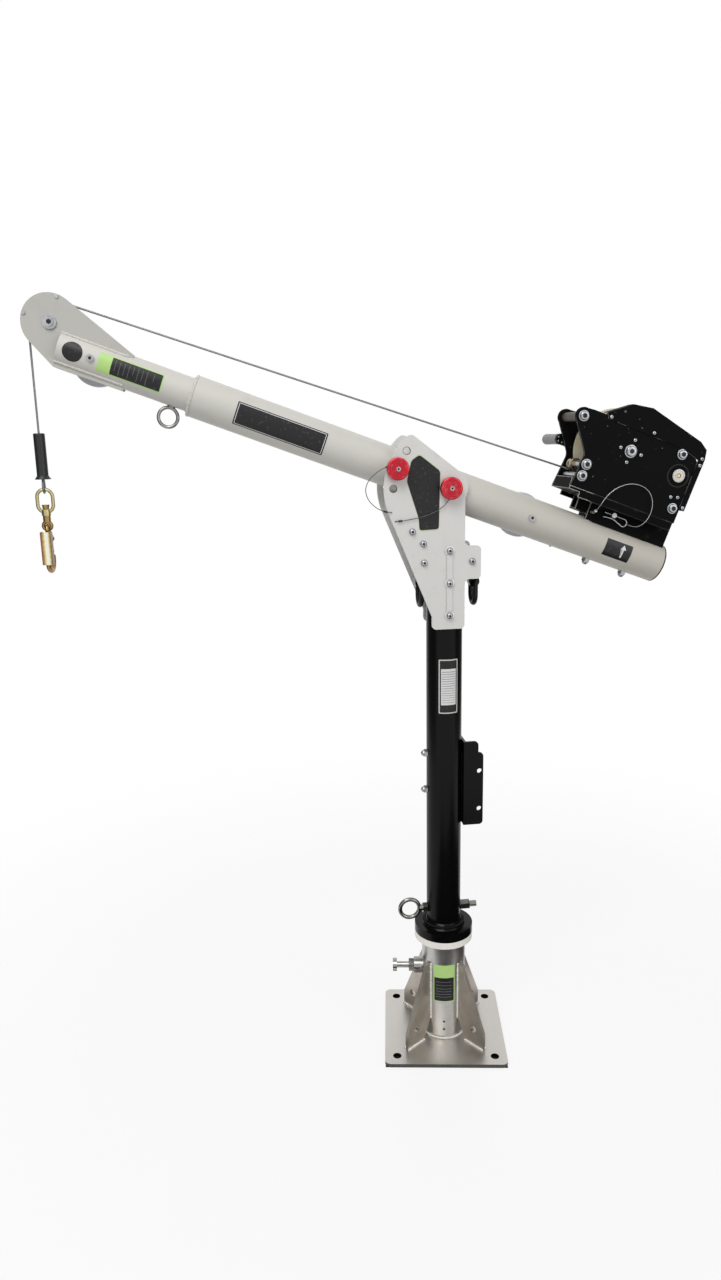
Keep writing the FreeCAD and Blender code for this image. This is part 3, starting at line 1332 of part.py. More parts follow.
def gear_face(teeth, centre, phase):
    """Involute gear outline, with the backlash taken off each flank."""
    pitch_r = GEAR_MODULE * teeth / 2
    base_r = pitch_r * math.cos(GEAR_PRESSURE)
    root_r = pitch_r - GEAR_ROOT * GEAR_MODULE
    tip_r = pitch_r + GEAR_TIP * GEAR_MODULE
    flank_low = max(base_r, root_r)
    level = math.tan(GEAR_PRESSURE) - GEAR_PRESSURE
    at_pitch = math.pi / 2 / teeth - GEAR_BACKLASH / 2 / pitch_r
    flank = []
    for k in range(FLANK_STEPS + 1):
        r = flank_low + (tip_r - flank_low) * k / FLANK_STEPS
        press = math.acos(base_r / r)
        flank.append((r, at_pitch + level - (math.tan(press) - press)))
    foot = (root_r, flank[0][1] + GEAR_FOOT_SPREAD / pitch_r)
    side = [foot] + flank
    ring = []
    for k in range(teeth):
        mid = phase + 2 * math.pi * k / teeth
        turns = [(r, mid - a) for r, a in side] + [(r, mid + a) for r, a in reversed(side)]
        ring += [V(centre[0] + r * math.cos(a), 0, centre[1] + r * math.sin(a)) for r, a in turns]
    return Part.Face(Part.makePolygon(ring + [ring[0]]))


def gear_wheel(teeth, centre, phase, y):
    face = gear_face(teeth, centre, phase)
    face.translate(V(0, y[0], 0))
    return face.extrude(V(0, y[1] - y[0], 0))


def drum():
    """Hollow barrel, built out by its inner rope layers, between two flanges."""
    core = 2 * (WIND_R - ROPE_R - SLIP)
    y0, y1 = DRUM_Y
    at = (DRUM_X, DRUM_Z)
    body = join(
        disc(at, core / 2, DRUM_Y),
        disc(at, DRUM_FLANGE_R, (y0 - DRUM_FLANGE_T, y0)),
        disc(at, DRUM_FLANGE_R, (y1, y1 + DRUM_FLANGE_T)),
    )
    hollow = disc(at, core / 2 - DRUM_WALL, (y0 + DRUM_WEB, y1 + DRUM_FLANGE_T))
    hollow = hollow.cut(disc(at, DRUM_HUB_D / 2, DRUM_Y))
    body = body.cut(hollow)
    return on_boom(body.cut(disc(at, DRUM_SHAFT_D / 2 + RUN_FIT, (-CASE_GAP, CASE_GAP))))


def drum_gear():
    y = (GEAR_Y, GEAR_Y + GEAR_W)
    at = (DRUM_X, DRUM_Z)
    hub = disc(at, DRUM_SHAFT_D, (GEAR_Y + GEAR_W, DRUM_Y[0] - DRUM_FLANGE_T))
    wheel = join(gear_wheel(GEAR_TEETH, at, math.radians(PINION_ANGLE), y), hub)
    return on_boom(wheel.cut(disc(at, DRUM_SHAFT_D / 2 + RUN_FIT, (-CASE_GAP, CASE_GAP))))


def pinion_shaft():
    """Input shaft with pinion, ratchet wheel and the bearing cap that shows on the near plate."""
    at = (PINION_X, PINION_Z)
    y = (GEAR_Y - LAP, GEAR_Y + GEAR_W + LAP)
    phase = math.radians(PINION_ANGLE) + math.pi + math.pi / PINION_TEETH
    near = -CASE_OUT - SLIP
    nut_y = CRANK_Y + CRANK_T
    teeth = []
    for k in range(RATCHET_TEETH):
        for r, share in ((RATCHET_R, 0), (RATCHET_R - RATCHET_DEPTH, RATCHET_RAKE)):
            t = 2 * math.pi * (k + share) / RATCHET_TEETH
            teeth.append((at[0] + r * math.cos(t), at[1] + r * math.sin(t), 0))
    return on_boom(join(
        disc(at, PINION_SHAFT_D / 2, (near, nut_y)),
        hexagon((at[0], nut_y, at[1]), (at[0], nut_y + CRANK_NUT_T, at[1]), CRANK_NUT_AF),
        gear_wheel(PINION_TEETH, at, phase, y),
        sheet(teeth, (RATCHET_Y, RATCHET_Y + RATCHET_W)),
        disc(at, BEARING_D / 2, (near - BEARING_PROUD, near)),
    ))


def pawl():
    """Ratchet pawl on a stud in the far plate."""
    y = (RATCHET_Y, RATCHET_Y + RATCHET_W)
    px, pz = PAWL_PIVOT
    tx, tz = PAWL_TIP
    run = V(tx - px, 0, tz - pz)
    side = V(run.z, 0, -run.x)
    side.normalize()
    a = V(px, y[0], pz)
    b = V(tx, y[0], tz)
    wide = side * (PAWL_ARM_W / 2)
    slim = side * (PAWL_TIP_D / 2)
    face = Part.Face(Part.makePolygon([a + wide, a - wide, b - slim, b + slim, a + wide]))
    return on_boom(join(
        disc(PAWL_PIVOT, PAWL_HUB_D / 2, y),
        face.extrude(V(0, RATCHET_W, 0)),
        disc(PAWL_TIP, PAWL_TIP_D / 2, y),
        disc(PAWL_PIVOT, PAWL_STUD_D / 2 - RUN_FIT, (y[0], CASE_OUT)),
    ))


def crank_arm():
    """Flat arm on the input shaft, pointing forwards along the boom, with the grip's pin at its end."""
    y = (CRANK_Y, CRANK_Y + CRANK_T)
    end = PINION_X - CRANK_R
    half = CRANK_W / 2
    pin_end = CRANK_Y + CRANK_T + GRIP_L + 2 * SLIP
    arm = join(
        block((end, PINION_X), y, (PINION_Z - half, PINION_Z + half)),
        disc((PINION_X, PINION_Z), CRANK_HUB_D / 2, y),
        disc((end, PINION_Z), half, y),
        disc((end, PINION_Z), GRIP_PIN_D / 2, (CRANK_Y, pin_end)),
        disc((end, PINION_Z), GRIP_CAP_D / 2, (pin_end, pin_end + GRIP_CAP_T)),
    )
    return on_boom(arm.cut(disc((PINION_X, PINION_Z), PINION_SHAFT_D / 2, y)))


def crank_grip():
    start = CRANK_Y + CRANK_T + SLIP
    stop = start + GRIP_L
    r = GRIP_D / 2
    bore = GRIP_PIN_D / 2 + RUN_FIT
    profile = [
        (start, bore),
        (start, r - GRIP_EDGE),
        (start + GRIP_EDGE, r),
        (start + GRIP_WAIST_AT, GRIP_WAIST_D / 2),
        (stop - GRIP_END_BAND, r),
        (stop - GRIP_EDGE, r),
        (stop, r - GRIP_EDGE),
        (stop, bore),
    ]
    return on_boom(turned(profile, (PINION_X - CRANK_R, PINION_Z)))


# Load line

def rope_tangents():
    """Where the taut run leaves the bottom of the winding and meets the top of the sheave."""
    ex = SHEAVE_X - DRUM_X
    ez = SHEAVE_Z - DRUM_Z
    far = math.hypot(ex, ez)
    ex, ez = ex / far, ez / far
    k = (WIND_R + SHEAVE_ROPE_R) / far
    rise = math.sqrt(1 - k * k)
    nx = -k * ex + rise * ez
    nz = -k * ez - rise * ex
    outlet = DRUM_Y[1] - ROPE_R - 2 * TURN_GAP
    start = V(DRUM_X - nx * WIND_R, outlet, DRUM_Z - nz * WIND_R)
    stop = V(SHEAVE_X + nx * SHEAVE_ROPE_R, 0, SHEAVE_Z + nz * SHEAVE_ROPE_R)
    return start, stop, math.degrees(math.atan2(nz, nx))


def rope_run():
    """Taut rope from the winding to the sheave, then round the sheave to where it drops."""
    start, stop, angle = rope_tangents()
    way = stop - start
    way.normalize()
    run = bar(tuple(start + way * SLIP), tuple(stop - way * SLIP), ROPE_D)
    sweep = 180 + BOOM_RAISE - angle
    circle = Part.Face(Part.Wire(Part.makeCircle(ROPE_R, stop, V(way.x, 0, way.z))))
    arc = circle.revolve(V(SHEAVE_X, 0, SHEAVE_Z), V(0, -1, 0), sweep)
    return on_boom(group([run, arc]))


def biarc(p, t, q, u):
    """Two arcs from p along t to q along u."""
    v = q - p
    both = t + u
    turn = 2 * (1 - t.dot(u))
    d = (-v.dot(both) + math.sqrt(v.dot(both) ** 2 + turn * v.dot(v))) / turn
    joint = (p + q + (t - u) * d) * 0.5
    arcs = []
    for a, way, b in ((p, t, joint), (q, u * -1, joint)):
        chord = b - a
        away = chord - way * chord.dot(way)
        r = chord.dot(chord) / (2 * away.Length)
        away.normalize()
        centre = a + away * r
        middle = (a + b) * 0.5 - centre
        middle.normalize()
        arcs.append((a, centre + middle * r, b))
    first, second = arcs
    return [Part.Arc(*first).toShape(), Part.Arc(*reversed(second)).toShape()]


def drum_rope():
    """Outer layer of rope on the drum, one unbroken tube from the run's start to the near flange."""
    start, stop, angle = rope_tangents()
    pitch = ROPE_D + TURN_GAP
    usable = DRUM_Y[1] - DRUM_Y[0] - ROPE_D - 4 * TURN_GAP
    turns = min(MOST_TURNS, int(usable / pitch))
    quarters = 4 * turns
    phase = math.radians(angle + 180)
    rise = -pitch / (2 * math.pi)
    places = []
    for k in range(quarters + 1):
        a = phase + math.pi / 2 * k
        y = start.y + rise * (a - phase)
        p = V(DRUM_X + WIND_R * math.cos(a), y, DRUM_Z + WIND_R * math.sin(a))
        t = V(-WIND_R * math.sin(a), rise, WIND_R * math.cos(a))
        t.normalize()
        places.append((p, t))
    first_t = places[0][1]
    last_p, last_t = places[-1]
    edges = []
    for (p, t), (q, u) in zip(places, places[1:]):
        edges += biarc(p, t, q, u)
    edges.append(Part.makeLine(last_p, last_p + last_t * ROPE_D))
    solid, length = pipe(edges, ROPE_D, first_t)
    samples = Part.Wire(edges).discretize(CHECK_POINTS * turns)
    least = pitch
    for k, p in enumerate(samples):
        for other in samples[k + CHECK_POINTS // 2:k + 2 * CHECK_POINTS]:
            least = min(least, (other - p).Length)
    ratio = solid.Volume / (math.pi * ROPE_R ** 2 * length)
    print("drum_rope turns", turns, "least gap", round(least - ROPE_D, 2), "volume ratio", round(ratio, 4))
    return on_boom(solid)


def rope_drop():
    return bar((LINE_X, 0, SLEEVE_TOP_Z), (LINE_X, 0, SHEAVE_WORLD_Z), ROPE_D)


def stop_sleeve():
    low = SLEEVE_TOP_Z - STOP_LENGTH
    body = bar((LINE_X, 0, low), (LINE_X, 0, SLEEVE_TOP_Z), STOP_D)
    body = body.makeFillet(STOP_EDGE_R, [e for e in body.Edges if e.BoundBox.ZMin > SLEEVE_TOP_Z - LAP])
    flare = cone((LINE_X, 0, low), (LINE_X, 0, low + STOP_FLARE_H), STOP_FLARE_D, STOP_D)
    return join(body, flare).cut(bar((LINE_X, 0, low), (LINE_X, 0, SLEEVE_TOP_Z), ROPE_D))


def rope_eye():
    eye = loop((LINE_X, 0, EYE_Z), (1, 0, 0), EYE_R, ROPE_D)
    return join(eye, bar((LINE_X, 0, EYE_Z + EYE_R), (LINE_X, 0, SLEEVE_TOP_Z), ROPE_D))


def oval_link():
    """Bow of the swivel: two straight sides, round top and a bored boss at the bottom."""
    half = LINK_W / 2
    top_z = LINK_TOP_Z - half
    low_z = LINK_LOW_Z + half
    pieces = []
    for z, span in ((top_z, (top_z, top_z + LINK_W)), (low_z, (low_z - LINK_W, low_z))):
        ring = loop((LINE_X, 0, z), (0, 1, 0), half, LINK_WIRE)
        pieces.append(ring.common(block((LINE_X - LINK_W, LINE_X + LINK_W), (-LINK_W, LINK_W), span)))
    for x in (LINE_X - half, LINE_X + half):
        pieces.append(bar((x, 0, low_z), (x, 0, top_z), LINK_WIRE))
    boss_low = LINK_LOW_Z - LINK_BOSS_H / 2
    pieces.append(bar((LINE_X, 0, boss_low), (LINE_X, 0, boss_low + LINK_BOSS_H), LINK_BOSS_D))
    bore = bar((LINE_X, 0, boss_low), (LINE_X, 0, boss_low + LINK_BOSS_H), SWIVEL_BOLT_D + 2 * RUN_FIT)
    return join(*pieces).cut(bore)


SWIVEL_LOW = LINK_LOW_Z - LINK_BOSS_H / 2 - SLIP - SWIVEL_NECK_L
SWIVEL_EYE_Z = SWIVEL_LOW - CHAIN_EYE_R
HOOK_EYE_Z = SWIVEL_EYE_Z - CHAIN_EYE_R


def hook_swivel():
    """Headed bolt that turns in the bow's boss, with the eye that carries the hook."""
    head_low = LINK_LOW_Z + LINK_BOSS_H / 2 + SLIP
    head_top = head_low + SWIVEL_HEAD_T
    neck_top = SWIVEL_LOW + SWIVEL_NECK_L
    return join(
        bar((LINE_X, 0, neck_top), (LINE_X, 0, head_low), SWIVEL_BOLT_D),
        cone((LINE_X, 0, head_low), (LINE_X, 0, head_top), SWIVEL_HEAD_LOW_D, SWIVEL_HEAD_D),
        bar((LINE_X, 0, SWIVEL_LOW), (LINE_X, 0, neck_top), SWIVEL_HEAD_D),
        loop((LINE_X, 0, SWIVEL_EYE_Z), (0, 1, 0), CHAIN_EYE_R, SWIVEL_EYE_WIRE),
    )


def hook_body():
    """Snap hook in the YZ plane: eye, spine, round bowl, nose, and the pinned ears that carry the gate."""
    w = HOOK_WIRE
    neck_w = HOOK_NECK_D
    r = HOOK_BOWL_R
    spine_top = (LINE_X, -r, HOOK_SHOULDER_Z)
    neck = (LINE_X, 0, HOOK_EYE_Z - CHAIN_EYE_R - HOOK_NECK_DROP)
    bowl = loop((LINE_X, 0, HOOK_BOWL_Z), (1, 0, 0), r, w)
    below = block((LINE_X - w, LINE_X + w), (-2 * r, 2 * r), (HOOK_BOWL_Z - 2 * r, HOOK_BOWL_Z))
    bowl = bowl.common(below)
    y, z = GATE_PIVOT
    ears = []
    for side in (-1, 1):
        inner = LINE_X + side * (GATE_D / 2 + SLIP)
        outer = inner + side * GATE_EAR_T
        run = V(0, y, z - neck[2])
        across = V(0, -run.z, run.y)
        across.normalize()
        across = across * (GATE_EAR_D / 2)
        a = V(inner, 0, neck[2])
        b = V(inner, y, z)
        strap = Part.Face(Part.makePolygon([a + across, a - across, b - across, b + across, a + across]))
        ears += [strap.extrude(V(outer - inner, 0, 0)), bar((inner, y, z), (outer, y, z), GATE_EAR_D)]
    pin = bar((LINE_X - GATE_D, y, z), (LINE_X + GATE_D, y, z), GATE_PIN_D)
    return join(
        loop((LINE_X, 0, HOOK_EYE_Z), (1, 0, 0), CHAIN_EYE_R, HOOK_EYE_WIRE),
        bar((LINE_X, 0, HOOK_EYE_Z - CHAIN_EYE_R), neck, HOOK_STEM_D),
        ball(neck, neck_w),
        bar(neck, spine_top, neck_w),
        ball(spine_top, w),
        bar(spine_top, (LINE_X, -r, HOOK_BOWL_Z), w),
        bowl,
        bar((LINE_X, r, HOOK_BOWL_Z), (LINE_X, r, HOOK_NOSE_Z), w),
        ball((LINE_X, r, HOOK_NOSE_Z), w),
        pin,
        *ears,
    )


def hook_gate():
    """Bar from its pin at the hook's shoulder down to the nose."""
    y, z = GATE_PIVOT
    foot = (LINE_X, HOOK_BOWL_R, HOOK_NOSE_Z + HOOK_WIRE / 2 + GATE_D / 2 + GATE_GAP)
    head = (LINE_X, y, z)
    half = GATE_D / 2
    boss = bar((LINE_X - half, y, z), (LINE_X + half, y, z), GATE_EAR_D)
    gate = join(bar(head, foot, GATE_BAR_D), ball(foot, GATE_D), boss)
    return gate.cut(bar((LINE_X - GATE_D, y, z), (LINE_X + GATE_D, y, z), GATE_PIN_D + 2 * RUN_FIT))


def hook_lever():
    """Folded lock lever along the hook's spine, riveted through both cheeks."""
    half = LEVER_W / 2
    back = -HOOK_BOWL_R - HOOK_WIRE / 2 - LEVER_T - SLIP
    x = (LINE_X - half, LINE_X + half)
    web = block(x, (back, back + LEVER_T), LEVER_Z)
    cheeks = []
    for x0 in (x[0], x[1] - LEVER_T):
        cheeks.append(block((x0, x0 + LEVER_T), (back, back + LEVER_DEPTH), LEVER_Z))
    return join(web, *cheeks)


PIECES = {
    "base_plate": base_plate,
    "base_sleeve": base_sleeve,
    "gussets": gussets,
    "mast_bushes": mast_bushes,
    "plunger_housing": plunger_housing,
    "plunger_pin": plunger_pin,
    "plunger_spring": plunger_spring,
    "mast_tube": mast_tube,
    "mast_collar": mast_collar,
    "mast_eye_bolt": mast_eye_bolt,
    "device_bracket": device_bracket,
    "device_bracket_bolts": device_bracket_bolts,
    "cheek_bars": cheek_bars,
    "side_plate_near": lambda: side_plate((-PLATE_OUT, -PLATE_IN)),
    "side_plate_far": lambda: side_plate((PLATE_IN, PLATE_OUT)),
    "hinge_plate_bolts": hinge_plate_bolts,
    "ring_brackets": ring_brackets,
    "anchor_ring_left": lambda: anchor_ring(*RING_EYES[0]),
    "anchor_ring_right": lambda: anchor_ring(*RING_EYES[1]),
    "pivot_pin": pivot_pin,
    "pivot_knob": lambda: knob((0, PIVOT_Z), KNOB_SEAT, STUD_D),
    "lock_pin": lock_pin,
    "lock_knob": lambda: on_boom(knob((-LOCK_RADIUS, 0), KNOB_SEAT, STUD_D)),
    "pivot_lanyard": lambda: cord("pivot_lanyard", PIVOT_LANYARD, LANYARD_D),
    "lock_lanyard": lambda: cord("lock_lanyard", LOCK_LANYARD, LANYARD_D),
    "boom_outer_tube": boom_outer_tube,
    "boom_inner_tube": boom_inner_tube,
    "boom_end_cap": boom_end_cap,
    "head_plates": head_plates,
    "head_pins": head_pins,
    "sheave": sheave,
    "boom_eye_bolt": boom_eye_bolt,
    "boom_bushes": boom_bushes,
    "line_pulley_front": lambda: line_pulley("front"),
    "line_pulley_rear": lambda: line_pulley("rear"),
    "boom_bolts": boom_bolts,
    "winch_rail": winch_rail,
    "winch_foot": winch_foot,
    "winch_side_near": winch_side_near,
    "winch_side_far": winch_side_far,
    "gear_cover": gear_cover,
    "winch_tie_rods": winch_tie_rods,
    "hitch_clip": hitch_clip,
    "hitch_lanyard": lambda: on_boom(cord("hitch_lanyard", HITCH_LANYARD, LANYARD_D)),
    "drum": drum,
    "drum_gear": drum_gear,
    "drum_rope": drum_rope,
    "pinion_shaft": pinion_shaft,
    "pawl": pawl,
    "crank_arm": crank_arm,
    "crank_grip": crank_grip,
    "rope_run": rope_run,
    "rope_drop": rope_drop,
    "stop_sleeve": stop_sleeve,
    "rope_eye": rope_eye,
    "oval_link": oval_link,
    "hook_swivel": hook_swivel,
    "hook_body": hook_body,
    "hook_lever": hook_lever,
    "hook_gate": hook_gate,
}

for name, make in PIECES.items():
    make().exportStep("parts/" + name + ".step")
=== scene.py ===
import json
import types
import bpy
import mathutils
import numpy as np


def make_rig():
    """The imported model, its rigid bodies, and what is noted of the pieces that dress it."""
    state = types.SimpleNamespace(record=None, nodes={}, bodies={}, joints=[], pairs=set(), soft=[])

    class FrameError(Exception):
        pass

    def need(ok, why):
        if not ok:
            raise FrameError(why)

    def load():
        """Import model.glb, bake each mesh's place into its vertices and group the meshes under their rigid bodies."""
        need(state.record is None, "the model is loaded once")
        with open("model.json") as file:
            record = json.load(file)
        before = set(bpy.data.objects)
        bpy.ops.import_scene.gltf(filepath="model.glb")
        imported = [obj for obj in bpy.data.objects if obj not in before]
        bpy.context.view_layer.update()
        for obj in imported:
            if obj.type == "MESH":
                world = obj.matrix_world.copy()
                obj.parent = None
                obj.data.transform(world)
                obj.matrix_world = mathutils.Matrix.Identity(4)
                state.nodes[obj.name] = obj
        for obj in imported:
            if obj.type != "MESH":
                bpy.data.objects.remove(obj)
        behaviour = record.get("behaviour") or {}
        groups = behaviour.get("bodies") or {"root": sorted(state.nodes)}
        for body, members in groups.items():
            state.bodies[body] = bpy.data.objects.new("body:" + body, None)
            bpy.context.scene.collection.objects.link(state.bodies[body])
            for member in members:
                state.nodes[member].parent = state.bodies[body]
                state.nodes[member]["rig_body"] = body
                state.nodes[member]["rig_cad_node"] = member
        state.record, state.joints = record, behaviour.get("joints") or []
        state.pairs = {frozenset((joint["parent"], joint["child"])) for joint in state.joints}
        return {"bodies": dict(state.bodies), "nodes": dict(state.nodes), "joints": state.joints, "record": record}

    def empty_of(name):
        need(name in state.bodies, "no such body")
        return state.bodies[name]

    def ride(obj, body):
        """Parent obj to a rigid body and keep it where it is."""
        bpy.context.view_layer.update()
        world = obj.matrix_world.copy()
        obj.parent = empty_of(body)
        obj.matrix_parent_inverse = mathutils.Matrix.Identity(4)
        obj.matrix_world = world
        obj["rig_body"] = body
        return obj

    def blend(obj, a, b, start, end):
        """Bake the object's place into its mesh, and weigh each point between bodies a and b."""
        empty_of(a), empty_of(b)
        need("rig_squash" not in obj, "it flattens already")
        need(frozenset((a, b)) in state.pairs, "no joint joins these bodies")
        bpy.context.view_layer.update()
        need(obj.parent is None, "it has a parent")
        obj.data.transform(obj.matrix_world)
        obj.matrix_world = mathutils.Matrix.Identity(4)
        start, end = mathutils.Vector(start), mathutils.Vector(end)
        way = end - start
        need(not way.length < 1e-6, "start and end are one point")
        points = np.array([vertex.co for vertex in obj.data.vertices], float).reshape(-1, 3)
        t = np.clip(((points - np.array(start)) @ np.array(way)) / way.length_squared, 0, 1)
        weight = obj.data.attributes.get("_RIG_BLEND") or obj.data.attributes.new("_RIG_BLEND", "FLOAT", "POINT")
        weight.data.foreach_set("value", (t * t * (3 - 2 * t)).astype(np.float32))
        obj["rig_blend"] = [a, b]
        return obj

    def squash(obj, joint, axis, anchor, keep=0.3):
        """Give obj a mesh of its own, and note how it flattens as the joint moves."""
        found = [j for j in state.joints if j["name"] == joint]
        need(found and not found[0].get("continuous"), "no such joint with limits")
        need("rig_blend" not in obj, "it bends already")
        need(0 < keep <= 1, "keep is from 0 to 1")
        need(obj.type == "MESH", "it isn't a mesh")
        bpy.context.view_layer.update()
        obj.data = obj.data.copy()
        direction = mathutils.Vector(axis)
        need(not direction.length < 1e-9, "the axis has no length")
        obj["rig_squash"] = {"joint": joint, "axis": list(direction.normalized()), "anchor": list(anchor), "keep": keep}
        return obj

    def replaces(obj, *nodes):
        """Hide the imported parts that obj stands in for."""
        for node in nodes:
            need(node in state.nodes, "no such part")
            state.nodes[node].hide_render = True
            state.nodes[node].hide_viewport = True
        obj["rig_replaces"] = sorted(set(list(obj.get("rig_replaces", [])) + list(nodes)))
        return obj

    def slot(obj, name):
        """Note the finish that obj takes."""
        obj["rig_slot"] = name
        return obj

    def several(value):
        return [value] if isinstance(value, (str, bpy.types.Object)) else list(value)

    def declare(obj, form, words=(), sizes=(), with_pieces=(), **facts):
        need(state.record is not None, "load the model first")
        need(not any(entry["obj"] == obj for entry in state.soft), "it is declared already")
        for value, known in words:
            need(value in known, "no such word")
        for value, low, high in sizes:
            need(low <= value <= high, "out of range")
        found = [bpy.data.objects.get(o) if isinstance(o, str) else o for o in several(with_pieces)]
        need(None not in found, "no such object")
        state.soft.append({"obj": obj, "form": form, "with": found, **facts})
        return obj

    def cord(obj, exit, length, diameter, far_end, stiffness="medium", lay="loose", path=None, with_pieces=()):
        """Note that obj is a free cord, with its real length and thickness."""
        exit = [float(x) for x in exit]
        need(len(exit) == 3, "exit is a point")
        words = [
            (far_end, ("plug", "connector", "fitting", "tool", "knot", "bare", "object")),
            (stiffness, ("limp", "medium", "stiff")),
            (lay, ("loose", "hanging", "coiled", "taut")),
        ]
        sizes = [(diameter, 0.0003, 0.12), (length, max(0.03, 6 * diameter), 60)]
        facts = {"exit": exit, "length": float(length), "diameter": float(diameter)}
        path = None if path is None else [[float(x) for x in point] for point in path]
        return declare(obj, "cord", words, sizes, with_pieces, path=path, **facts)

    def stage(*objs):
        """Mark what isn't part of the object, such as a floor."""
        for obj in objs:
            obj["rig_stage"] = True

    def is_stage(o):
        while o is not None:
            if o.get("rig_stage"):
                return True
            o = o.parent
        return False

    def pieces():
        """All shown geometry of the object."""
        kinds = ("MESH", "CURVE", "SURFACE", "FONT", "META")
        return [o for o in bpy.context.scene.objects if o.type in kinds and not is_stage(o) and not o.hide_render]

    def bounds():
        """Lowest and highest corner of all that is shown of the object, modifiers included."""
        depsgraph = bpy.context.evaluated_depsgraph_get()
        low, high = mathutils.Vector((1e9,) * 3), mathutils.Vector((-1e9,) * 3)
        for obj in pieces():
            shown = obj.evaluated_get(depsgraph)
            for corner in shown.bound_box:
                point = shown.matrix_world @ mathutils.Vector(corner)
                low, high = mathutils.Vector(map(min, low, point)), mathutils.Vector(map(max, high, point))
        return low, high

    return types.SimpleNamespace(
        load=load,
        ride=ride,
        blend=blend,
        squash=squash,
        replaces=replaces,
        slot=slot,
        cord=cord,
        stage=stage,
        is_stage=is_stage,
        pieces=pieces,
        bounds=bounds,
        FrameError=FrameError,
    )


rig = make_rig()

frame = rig.load()

import json
import math

import bmesh
import bpy
from mathutils import Matrix, Vector

nodes = frame["nodes"]
scene = bpy.context.scene
cad_box = [list(corner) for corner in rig.bounds()]
MM = 0.001

# The studio: a pale floor in a white surround, soft lamps, and the camera at the height of the
# boom's pivot, in front of the crane and a little to the left of its mast.


class Wire:
    """A socket of a node tree. Sums on it add Math nodes, and node() adds any other node."""

    def __init__(self, tree, socket=None):
        self.tree = tree
        self.socket = socket

    def node(self, kind, settings, sockets, out=0):
        made = self.tree.nodes.new(kind)
        for name, value in settings.items():
            if name == "stops":
                stops = made.color_ramp.elements
                while len(stops) < len(value):
                    stops.new(1.0)
                for stop, (place, colour) in zip(stops, value):
                    stop.position = place
                    stop.color = (*colour, 1.0)
            else:
                setattr(made, name, value)
        for name, value in sockets.items():
            if isinstance(value, Wire):
                self.tree.links.new(value.socket, made.inputs[name])
            else:
                made.inputs[name].default_value = value
        return Wire(self.tree, made.outputs[out])

    def sum(self, operation, first, second=0.0):
        return self.node("ShaderNodeMath", {"operation": operation}, {0: first, 1: second})

    def __add__(self, other):
        return self.sum("ADD", self, other)

    __radd__ = __add__

    def __sub__(self, other):
        return self.sum("SUBTRACT", self, other)

    def __rsub__(self, other):
        return self.sum("SUBTRACT", other, self)

    def __mul__(self, other):
        return self.sum("MULTIPLY", self, other)

    __rmul__ = __mul__

    def __truediv__(self, other):
        return self.sum("DIVIDE", self, other)

    def __rtruediv__(self, other):
        return self.sum("DIVIDE", other, self)


def sees_backdrop(tree):
    """1 for rays that look at the backdrop, 0 for rays that only gather its light."""
    start = Wire(tree)
    looks = [start.node("ShaderNodeLightPath", {}, {}, "Is %s Ray" % kind)
             for kind in ("Camera", "Glossy", "Transmission")]
    return looks[0].sum("MAXIMUM", looks[0], looks[1].sum("MAXIMUM", looks[1], looks[2]))


def place_object(name, data):
    made = bpy.data.objects.new(name, data)
    scene.collection.objects.link(made)
    return made


def finish(name, **constants):
    """New finish with its shader's constants set; gives the material, the shader and Object places."""
    material = bpy.data.materials.new(name)
    material.use_nodes = True
    shader = material.node_tree.nodes["Principled BSDF"]
    for socket, value in constants.items():
        shader.inputs[socket.replace("_", " ")].default_value = value
    return material, shader, Wire(material.node_tree).node("ShaderNodeTexCoord", {}, {}, "Object")


def feed(shader, **wires):
    for socket, wire in wires.items():
        wire.tree.links.new(wire.socket, shader.inputs[socket.replace("_", " ")])


def mix(share, first, second):
    """Colour between two others."""
    return share.node("ShaderNodeMix", {"data_type": "RGBA"}, {0: share, 6: first, 7: second}, 2)


def ramp(value, low, high):
    """0 below low, 1 above high, smooth between."""
    return value.node("ShaderNodeMapRange", {"interpolation_type": "SMOOTHSTEP"},
                      {"Value": value, "From Min": low, "From Max": high})


def off_axis(place):
    """Distance from the mast's axis."""
    flat = place.node("ShaderNodeVectorMath", {"operation": "MULTIPLY"}, {0: place, 1: (1.0, 1.0, 0.0)})
    return flat.node("ShaderNodeVectorMath", {"operation": "LENGTH"}, {0: flat}, "Value")


def along(place, way):
    """Distance along a direction."""
    return place.node("ShaderNodeVectorMath", {"operation": "DOT_PRODUCT"},
                      {0: place, 1: tuple(way)}, "Value")


def card(name, corners, material):
    """Flat four-cornered piece of the studio."""
    mesh = bpy.data.meshes.new(name)
    mesh.from_pydata(corners, [], [(0, 1, 2, 3)])
    mesh.materials.append(material)
    return place_object(name, mesh)


BASE_TURN = Matrix.Rotation(math.radians(-8.95), 4, "Z")
BASE_AXES = (BASE_TURN.col[0][:3], BASE_TURN.col[1][:3])


def from_middle(place):
    """Distance from the middle of the base plate, square to its sides."""
    aside, across = (along(place, axis) for axis in BASE_AXES)
    return aside.sum("MAXIMUM", aside.sum("ABSOLUTE", aside), across.sum("ABSOLUTE", across))


